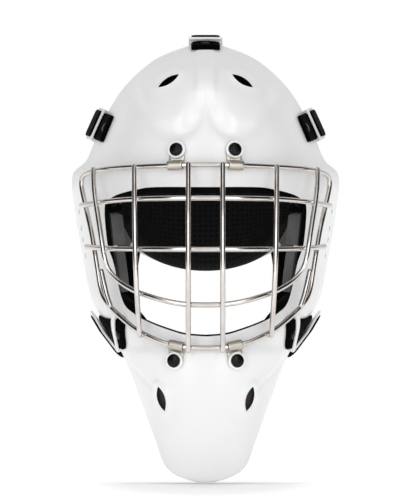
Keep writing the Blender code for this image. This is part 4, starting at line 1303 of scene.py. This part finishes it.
def make_tab(label, frame_axes, materials, face):
    """The webbing tab that lies on the shell under a hook, with its rivet near the front end."""
    kind = label.split("_")[0]
    front, rear = TAB_FRONT[kind], TAB_REAR[kind]
    rows, columns = 40, 16
    top = np.zeros((rows + 1, columns + 1, 3))
    under = np.zeros_like(top)
    uvs = np.zeros((rows + 1, columns + 1, 2))
    corner = 4.0
    for i in range(rows + 1):
        behind = -front + (front + rear) * i / rows
        short = max(corner - (behind + front), 0.0)
        narrow = corner - math.sqrt(corner ** 2 - min(short, corner) ** 2)
        half = WEBBING_WIDTH / 2 - narrow
        end = smoothstep(0.0, 0.06, i / rows) * smoothstep(1.0, 0.94, i / rows)
        for j in range(columns + 1):
            share = 2 * j / columns - 1
            hit, normal = on_face(face, frame_axes, behind, share * half)
            crown = (1 - 0.4 * abs(share) ** 12) * (0.6 + 0.4 * end)
            top[i, j] = hit + normal * (TAB_LOW + (TAB_HIGH[kind] - TAB_LOW) * crown)
            under[i, j] = hit + normal * TAB_LOW
            uvs[i, j] = (share * half, behind)
    verts, faces = closed_sheet(top, under)
    flat = np.concatenate((uvs.reshape(-1, 2), uvs.reshape(-1, 2)))
    tab = mesh_object(f"webbing_{label}_tab", verts, faces, materials["webbing"], flat, 60.0)
    settle(tab, "shell", [f"webbing_loop_{label}"])
    hit, normal = on_face(face, frame_axes, -front + 7.0, 0.0)
    rise = TAB_HIGH[kind] + 1.1
    profile = [(0.0, rise), (2.2, rise - 0.2), (3.6, rise - 0.7), (4.0, rise - 1.4)]
    profile += [(4.0, 2.0), (0.0, 2.0)]
    verts, faces = lathe(profile, 28)
    rivet = mesh_object(f"tab_rivet_{label}", verts, faces, materials["screw"], sharp=45.0)
    rivet.matrix_world = standing(hit, normal)
    settle(rivet, "shell")


def make_keeper(label, frame_axes, behind, materials, face):
    """A flat white bar across a lower tab, bent over it and under its edges."""
    rows, columns = 6, 20
    top = np.zeros((rows + 1, columns + 1, 3))
    under = np.zeros_like(top)
    for i in range(rows + 1):
        for j in range(columns + 1):
            beside = 29.0 * (j / columns - 0.5)
            hit, normal = on_face(face, frame_axes, behind + 5.0 * (i / rows - 0.5), beside)
            high = TAB_HIGH["lower"] + 1.9 - 0.5 * abs(2 * i / rows - 1) ** 4
            low = TAB_HIGH["lower"] + 0.3 if abs(beside) < WEBBING_WIDTH / 2 + 0.5 else 0.3
            top[i, j] = hit + normal * high
            under[i, j] = hit + normal * low
    verts, faces = closed_sheet(top, under)
    keeper = mesh_object(f"keeper_{label}", verts, faces, materials["hook"], sharp=50.0)
    settle(keeper, "shell")


def ribbon(name, middles, halves, thickness, material):
    """A flat woven strap through middles, each with its half-width vector, with round edges."""
    middles = np.asarray(middles, float)
    halves = np.asarray(halves, float)
    ahead = unit(np.gradient(middles, axis=0))
    face = unit(np.cross(ahead, halves))
    run = np.concatenate(([0.0], np.cumsum(np.linalg.norm(np.diff(middles, axis=0), axis=1))))
    width = 2 * np.linalg.norm(halves[0])
    section = []
    for share in np.linspace(-1, 1, 13):
        section.append((share, 0.5 * (1 - 0.75 * abs(share) ** 10)))
    section += [(share, -lift) for share, lift in reversed(section)]
    size = len(section)
    verts, uvs, faces = [], [], []
    for i, middle in enumerate(middles):
        for share, lift in section:
            verts.append(middle + halves[i] * share + face[i] * lift * thickness)
            uvs.append((share * width / 2, run[i]))
    for i in range(len(middles) - 1):
        for j in range(size):
            a = i * size + j
            b = i * size + (j + 1) % size
            faces.append((a, b, b + size, a + size))
    faces.append(tuple(range(size))[::-1])
    faces.append(tuple((len(middles) - 1) * size + j for j in range(size)))
    return mesh_object(name, verts, faces, material, uvs, 60.0)


def hermite(start, start_slope, end, end_slope, share):
    """A cubic between two points with a slope at each end."""
    square = share * share
    cube = square * share
    return (
        start * (2 * cube - 3 * square + 1) + start_slope * (cube - 2 * square + share)
        + end * (3 * square - 2 * cube) + end_slope * (cube - square)
    )


def make_harness(materials, face):
    """Hooks on the shell's edge, their webbing tabs, and the straps to the backplate."""
    spots = [("top", 1, TOP_ANCHOR)]
    for side, label in SIDES:
        spots.append((f"upper_{label}", side, (side * UPPER_ANCHOR[0], UPPER_ANCHOR[1])))
        spots.append((f"lower_{label}", side, (side * LOWER_ANCHOR[0], LOWER_ANCHOR[1])))
    for label, side, anchor_place in spots:
        middle, back, out, along, reach, drop = hook_frame(label, side)
        place = frame_matrix(middle, back, out, back.cross(out))
        verts, faces = prism(hook_outline(reach, drop), -HOOK_WIDTH / 2, HOOK_WIDTH / 2)
        hook = mesh_object(f"hook_{label}_moulding", verts, faces, materials["hook"])
        hook.matrix_world = place
        bevelled(hook, 0.6, 3, 50.0)
        settle(hook, "shell", [f"hook_{label}"])
        axes = (middle, back, out, along)
        if label.startswith("lower"):
            turn = math.radians(side * LOWER_TAB_TURN)
            run = back * math.cos(turn) + along * math.sin(turn)
            axes = (middle, run, out, out.cross(run))
            make_keeper(label, axes, KEEPER_PLACE, materials, face)
        make_tab(label, axes, materials, face)
        make_strap(label, side, (middle, back, out, along, reach), anchor_place, materials)


def strap_end_direction(label, side, over, up):
    """Which way a strap runs where it lies on the backplate."""
    if label == "top":
        return -up
    if label.startswith("upper"):
        return over * -side
    return (over * (-0.45 * side) + up * 0.9).normalized()


def make_strap(label, side, hook_axes, anchor_place, materials):
    """One elastic strap from a hook to the backplate, and the rivet that holds its end."""
    middle, back, out, along, reach = hook_axes
    across, height = anchor_place
    anchor = Vector(back_point(across, height))
    plate_out = Vector(back_normal(across, height))
    if plate_out.y < 0:
        plate_out = -plate_out
    over = Vector(unit(back_point(across + 0.02, height) - back_point(across - 0.02, height)))
    up = Vector(unit(back_point(across, height + 0.02) - back_point(across, height - 0.02)))
    inward = strap_end_direction(label, side, over, up)
    end = anchor + plate_out * (STRAP_THICKNESS / 2 + STRAP_CLEARANCE)
    start = middle + back * (reach + LIP_CLEARANCE + HOOK_TAIL) + out * STRAP_MIDDLE
    pull = (end - start).length
    half_start = along * (WEBBING_WIDTH / 2)
    cross = inward.cross(plate_out).normalized() * (WEBBING_WIDTH / 2)
    if cross.dot(half_start) < 0:
        cross = -cross
    first = middle - back * (HOOK_FRONT - 2.0) + out * STRAP_MIDDLE
    middles = [first.lerp(start, i / 10) for i in range(10)]
    halves = [half_start] * 10
    for i in range(61):
        share = i / 60
        middles.append(hermite(start, back * pull * 0.9, end, inward * pull * 0.9, share))
        halves.append(half_start.lerp(cross, share).normalized() * (WEBBING_WIDTH / 2))
    strap = ribbon(f"strap_{label}_elastic", middles, halves, STRAP_THICKNESS, materials["webbing"])
    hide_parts(f"strap_{label}")
    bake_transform(strap)
    rivet_profile = [(0.0, 2.6), (2.4, 2.4), (4.0, 1.8), (4.6, 1.2), (4.6, -4.0), (0.0, -4.0)]
    verts, faces = lathe(rivet_profile, 32)
    rivet = mesh_object(f"strap_rivet_{label}", verts, faces, materials["zinc"], sharp=45.0)
    rivet.matrix_world = standing(end - inward * 7.0, plate_out)
    settle(rivet, "backplate")


# ---- chin cup ------------------------------------------------------------------------------
def make_chin_cup(materials, face):
    """The chin cup, its side straps, and the snaps that hold them to the shell."""
    axis_y, axis_z = CHIN_AXIS
    centre_y, centre_z = CHIN_CENTRE
    tilt, turn = np.meshgrid(
        np.radians(np.linspace(-8.0, 88.0, 37)), np.radians(np.linspace(-80.0, 80.0, 61)),
        indexing="ij",
    )

    def cup_face(shrink):
        return np.stack((
            (CUP_HALF_WIDTH - shrink) * np.sin(turn),
            centre_y - (CUP_DEPTH - shrink) * np.cos(turn) * np.cos(tilt) ** 0.7,
            centre_z - (CUP_DROP - shrink) * np.sin(tilt) * (0.55 + 0.45 * np.cos(turn)),
        ), axis=-1)

    verts, faces = closed_sheet(cup_face(0.0), cup_face(CUP_THICKNESS))
    cup = mesh_object("chin_cup_moulding", verts, faces, materials["cup"], sharp=50.0)
    settle(cup, "chin_cup", ["chin_cup"])
    for side, label in SIDES:
        wall, out, _, _ = face.ray_cast(Vector((0.0, axis_y, axis_z)), Vector((side, 0.0, 0.0)))
        if out.x * side < 0:
            out = -out
        base = wall - out * (SHELL_THICKNESS + SNAP_CLEARANCE)
        repaint(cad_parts[f"chin_snap_{label}"], materials["zinc"])
        start = base - out * SNAP_STAND
        end = Vector((side * 41.6, centre_y - 2.0, centre_z - 2.0))
        run = end - start
        lie = (run - out * run.dot(out)).normalized()
        half = lie.cross(out).normalized() * (CHIN_STRAP_WIDTH / 2)
        bend = start + lie * 7.5
        middles = [start - lie * 8.0, start - lie * 4.0, start, start + lie * 4.0]
        for i in range(31):
            middles.append(hermite(bend, lie * 16.0, end, (end - bend) * 0.9, i / 30))
        strap = ribbon(
            f"chin_strap_{label}_webbing", middles, [half] * len(middles), STRAP_THICKNESS,
            materials["webbing"],
        )
        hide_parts(f"chin_strap_{label}")
        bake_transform(strap)


# ---- light, floor and camera ---------------------------------------------------------------
def make_world():
    """A surround that is bright in front and behind and dark to the sides; the camera sees white."""
    world = bpy.data.worlds.new("studio")
    world.use_nodes = True
    bpy.context.scene.world = world
    tree = world.node_tree
    where = add_node(tree, "ShaderNodeTexCoord", "Generated", {})
    x, y, z = (
        add_node(tree, "ShaderNodeSeparateXYZ", axis, {"Vector": where}) for axis in "XYZ"
    )
    side = calculate(tree, "ABSOLUTE", x)
    azimuth = calculate(tree, "ARCTAN2", side, calculate(tree, "MULTIPLY", y, -1.0))
    turned = calculate(tree, "DIVIDE", azimuth, math.pi)
    stops = ((0.0, 1.0), (0.15, 1.0), (0.25, 0.04), (0.62, 0.04), (0.74, 0.8))
    round_about = grey_ramp(tree, turned, stops)
    overhead = grey_ramp(tree, z, ((0.0, 1.0), (0.87, 1.0), (0.96, 0.08)))
    glow = calculate(tree, "MULTIPLY", round_about, overhead)
    seen = (0.56, 0.56, 0.56, 1.0)
    for ray, colour in (("Is Glossy Ray", glow), ("Is Camera Ray", (1.0, 1.0, 1.0, 1.0))):
        kind = add_node(tree, "ShaderNodeLightPath", ray, {})
        inputs = {"Factor": kind, 6: seen, 7: colour}
        seen = add_node(tree, "ShaderNodeMix", 2, inputs, data_type="RGBA")
    connect(tree, tree.nodes["Background"], {"Color": seen, "Strength": 1.0})


def area_light(name, place, target, size, power):
    """A soft rectangular light aimed at a point."""
    lamp = bpy.data.lights.new(name, "AREA")
    lamp.shape = "RECTANGLE"
    lamp.size, lamp.size_y = size
    lamp.energy = power
    obj = bpy.data.objects.new(name, lamp)
    bpy.context.scene.collection.objects.link(obj)
    obj.location = place
    aim = Vector(target) - Vector(place)
    obj.rotation_euler = aim.to_track_quat("-Z", "Y").to_euler()
    return obj


def make_stage():
    """A pale floor under the chin that glows evenly away from it and is dimmed near the chin as a
    painted contact shadow, with the lights and the camera.
    """
    mesh = bpy.data.meshes.new("floor")
    reach = 30.0
    low = cad_box[0][2] - 0.0012
    corners = [
        (x, y, min(y, 0.0) * FLOOR_SLOPE) for y in (-reach, 0.0, reach) for x in (-reach, reach)
    ]
    mesh.from_pydata(corners, [], [(0, 1, 3, 2), (2, 3, 5, 4)])
    material, tree, shader, where = new_material("floor_white_painted_shadow")
    far = add_node(tree, "ShaderNodeVectorMath", "Value", {0: where}, operation="LENGTH")
    connect(tree, shader, {
        "Base Color": (0.93, 0.93, 0.93, 1.0),
        "Roughness": 0.9,
        "Specular IOR Level": 0.1,
        "Emission Color": (1.0, 1.0, 1.0, 1.0),
        # Emission is low near the chin and rises with distance from it: a painted contact shadow
        # under the chin.
        "Emission Strength": grey_ramp(tree, far, ((0.0, 0.05), (0.05, 0.2), (0.14, 0.5))),
    })
    mesh.materials.append(material)
    floor = bpy.data.objects.new("floor", mesh)
    floor.location = (0.0, CHIN_REST, low)
    bpy.context.scene.collection.objects.link(floor)
    area_light("top", (0.0, -0.3, 2.0), (0, -0.05, 0.0), (1.5, 1.5), 4.0)
    for side, label in SIDES:
        area_light(f"strip_{label}", (side, -2.45, 0.55), (0, -0.05, 0.02), (0.9, 2.0), 10.5)
    camera = bpy.data.cameras.new("camera")
    eye = bpy.data.objects.new("camera", camera)
    bpy.context.scene.collection.objects.link(eye)
    eye.location = (CAMERA_X, -CAMERA_DISTANCE, CAMERA_Z)
    eye.rotation_euler = (math.radians(90.0), 0.0, 0.0)
    camera.sensor_width = SENSOR_WIDTH
    camera.lens = SENSOR_WIDTH * (CAMERA_DISTANCE - VIEW_DEPTH) / VIEW_WIDTH
    bpy.context.scene.camera = eye
    bpy.context.scene.view_settings.view_transform = "Standard"


# ---- the whole mask ------------------------------------------------------------------------
def main():
    """Builds every piece around the frame."""
    materials = make_materials()
    make_world()
    make_stage()
    routes = cage_routes()
    face = skin_tree(0.0)
    frames = clip_frames(routes["cage_perimeter"], face)
    make_shell(materials, frames)
    make_cage(materials, routes)
    make_fasteners(materials, frames)
    make_padding(materials)
    make_backplate(materials)
    make_harness(materials, face)
    make_chin_cup(materials, face)


main()
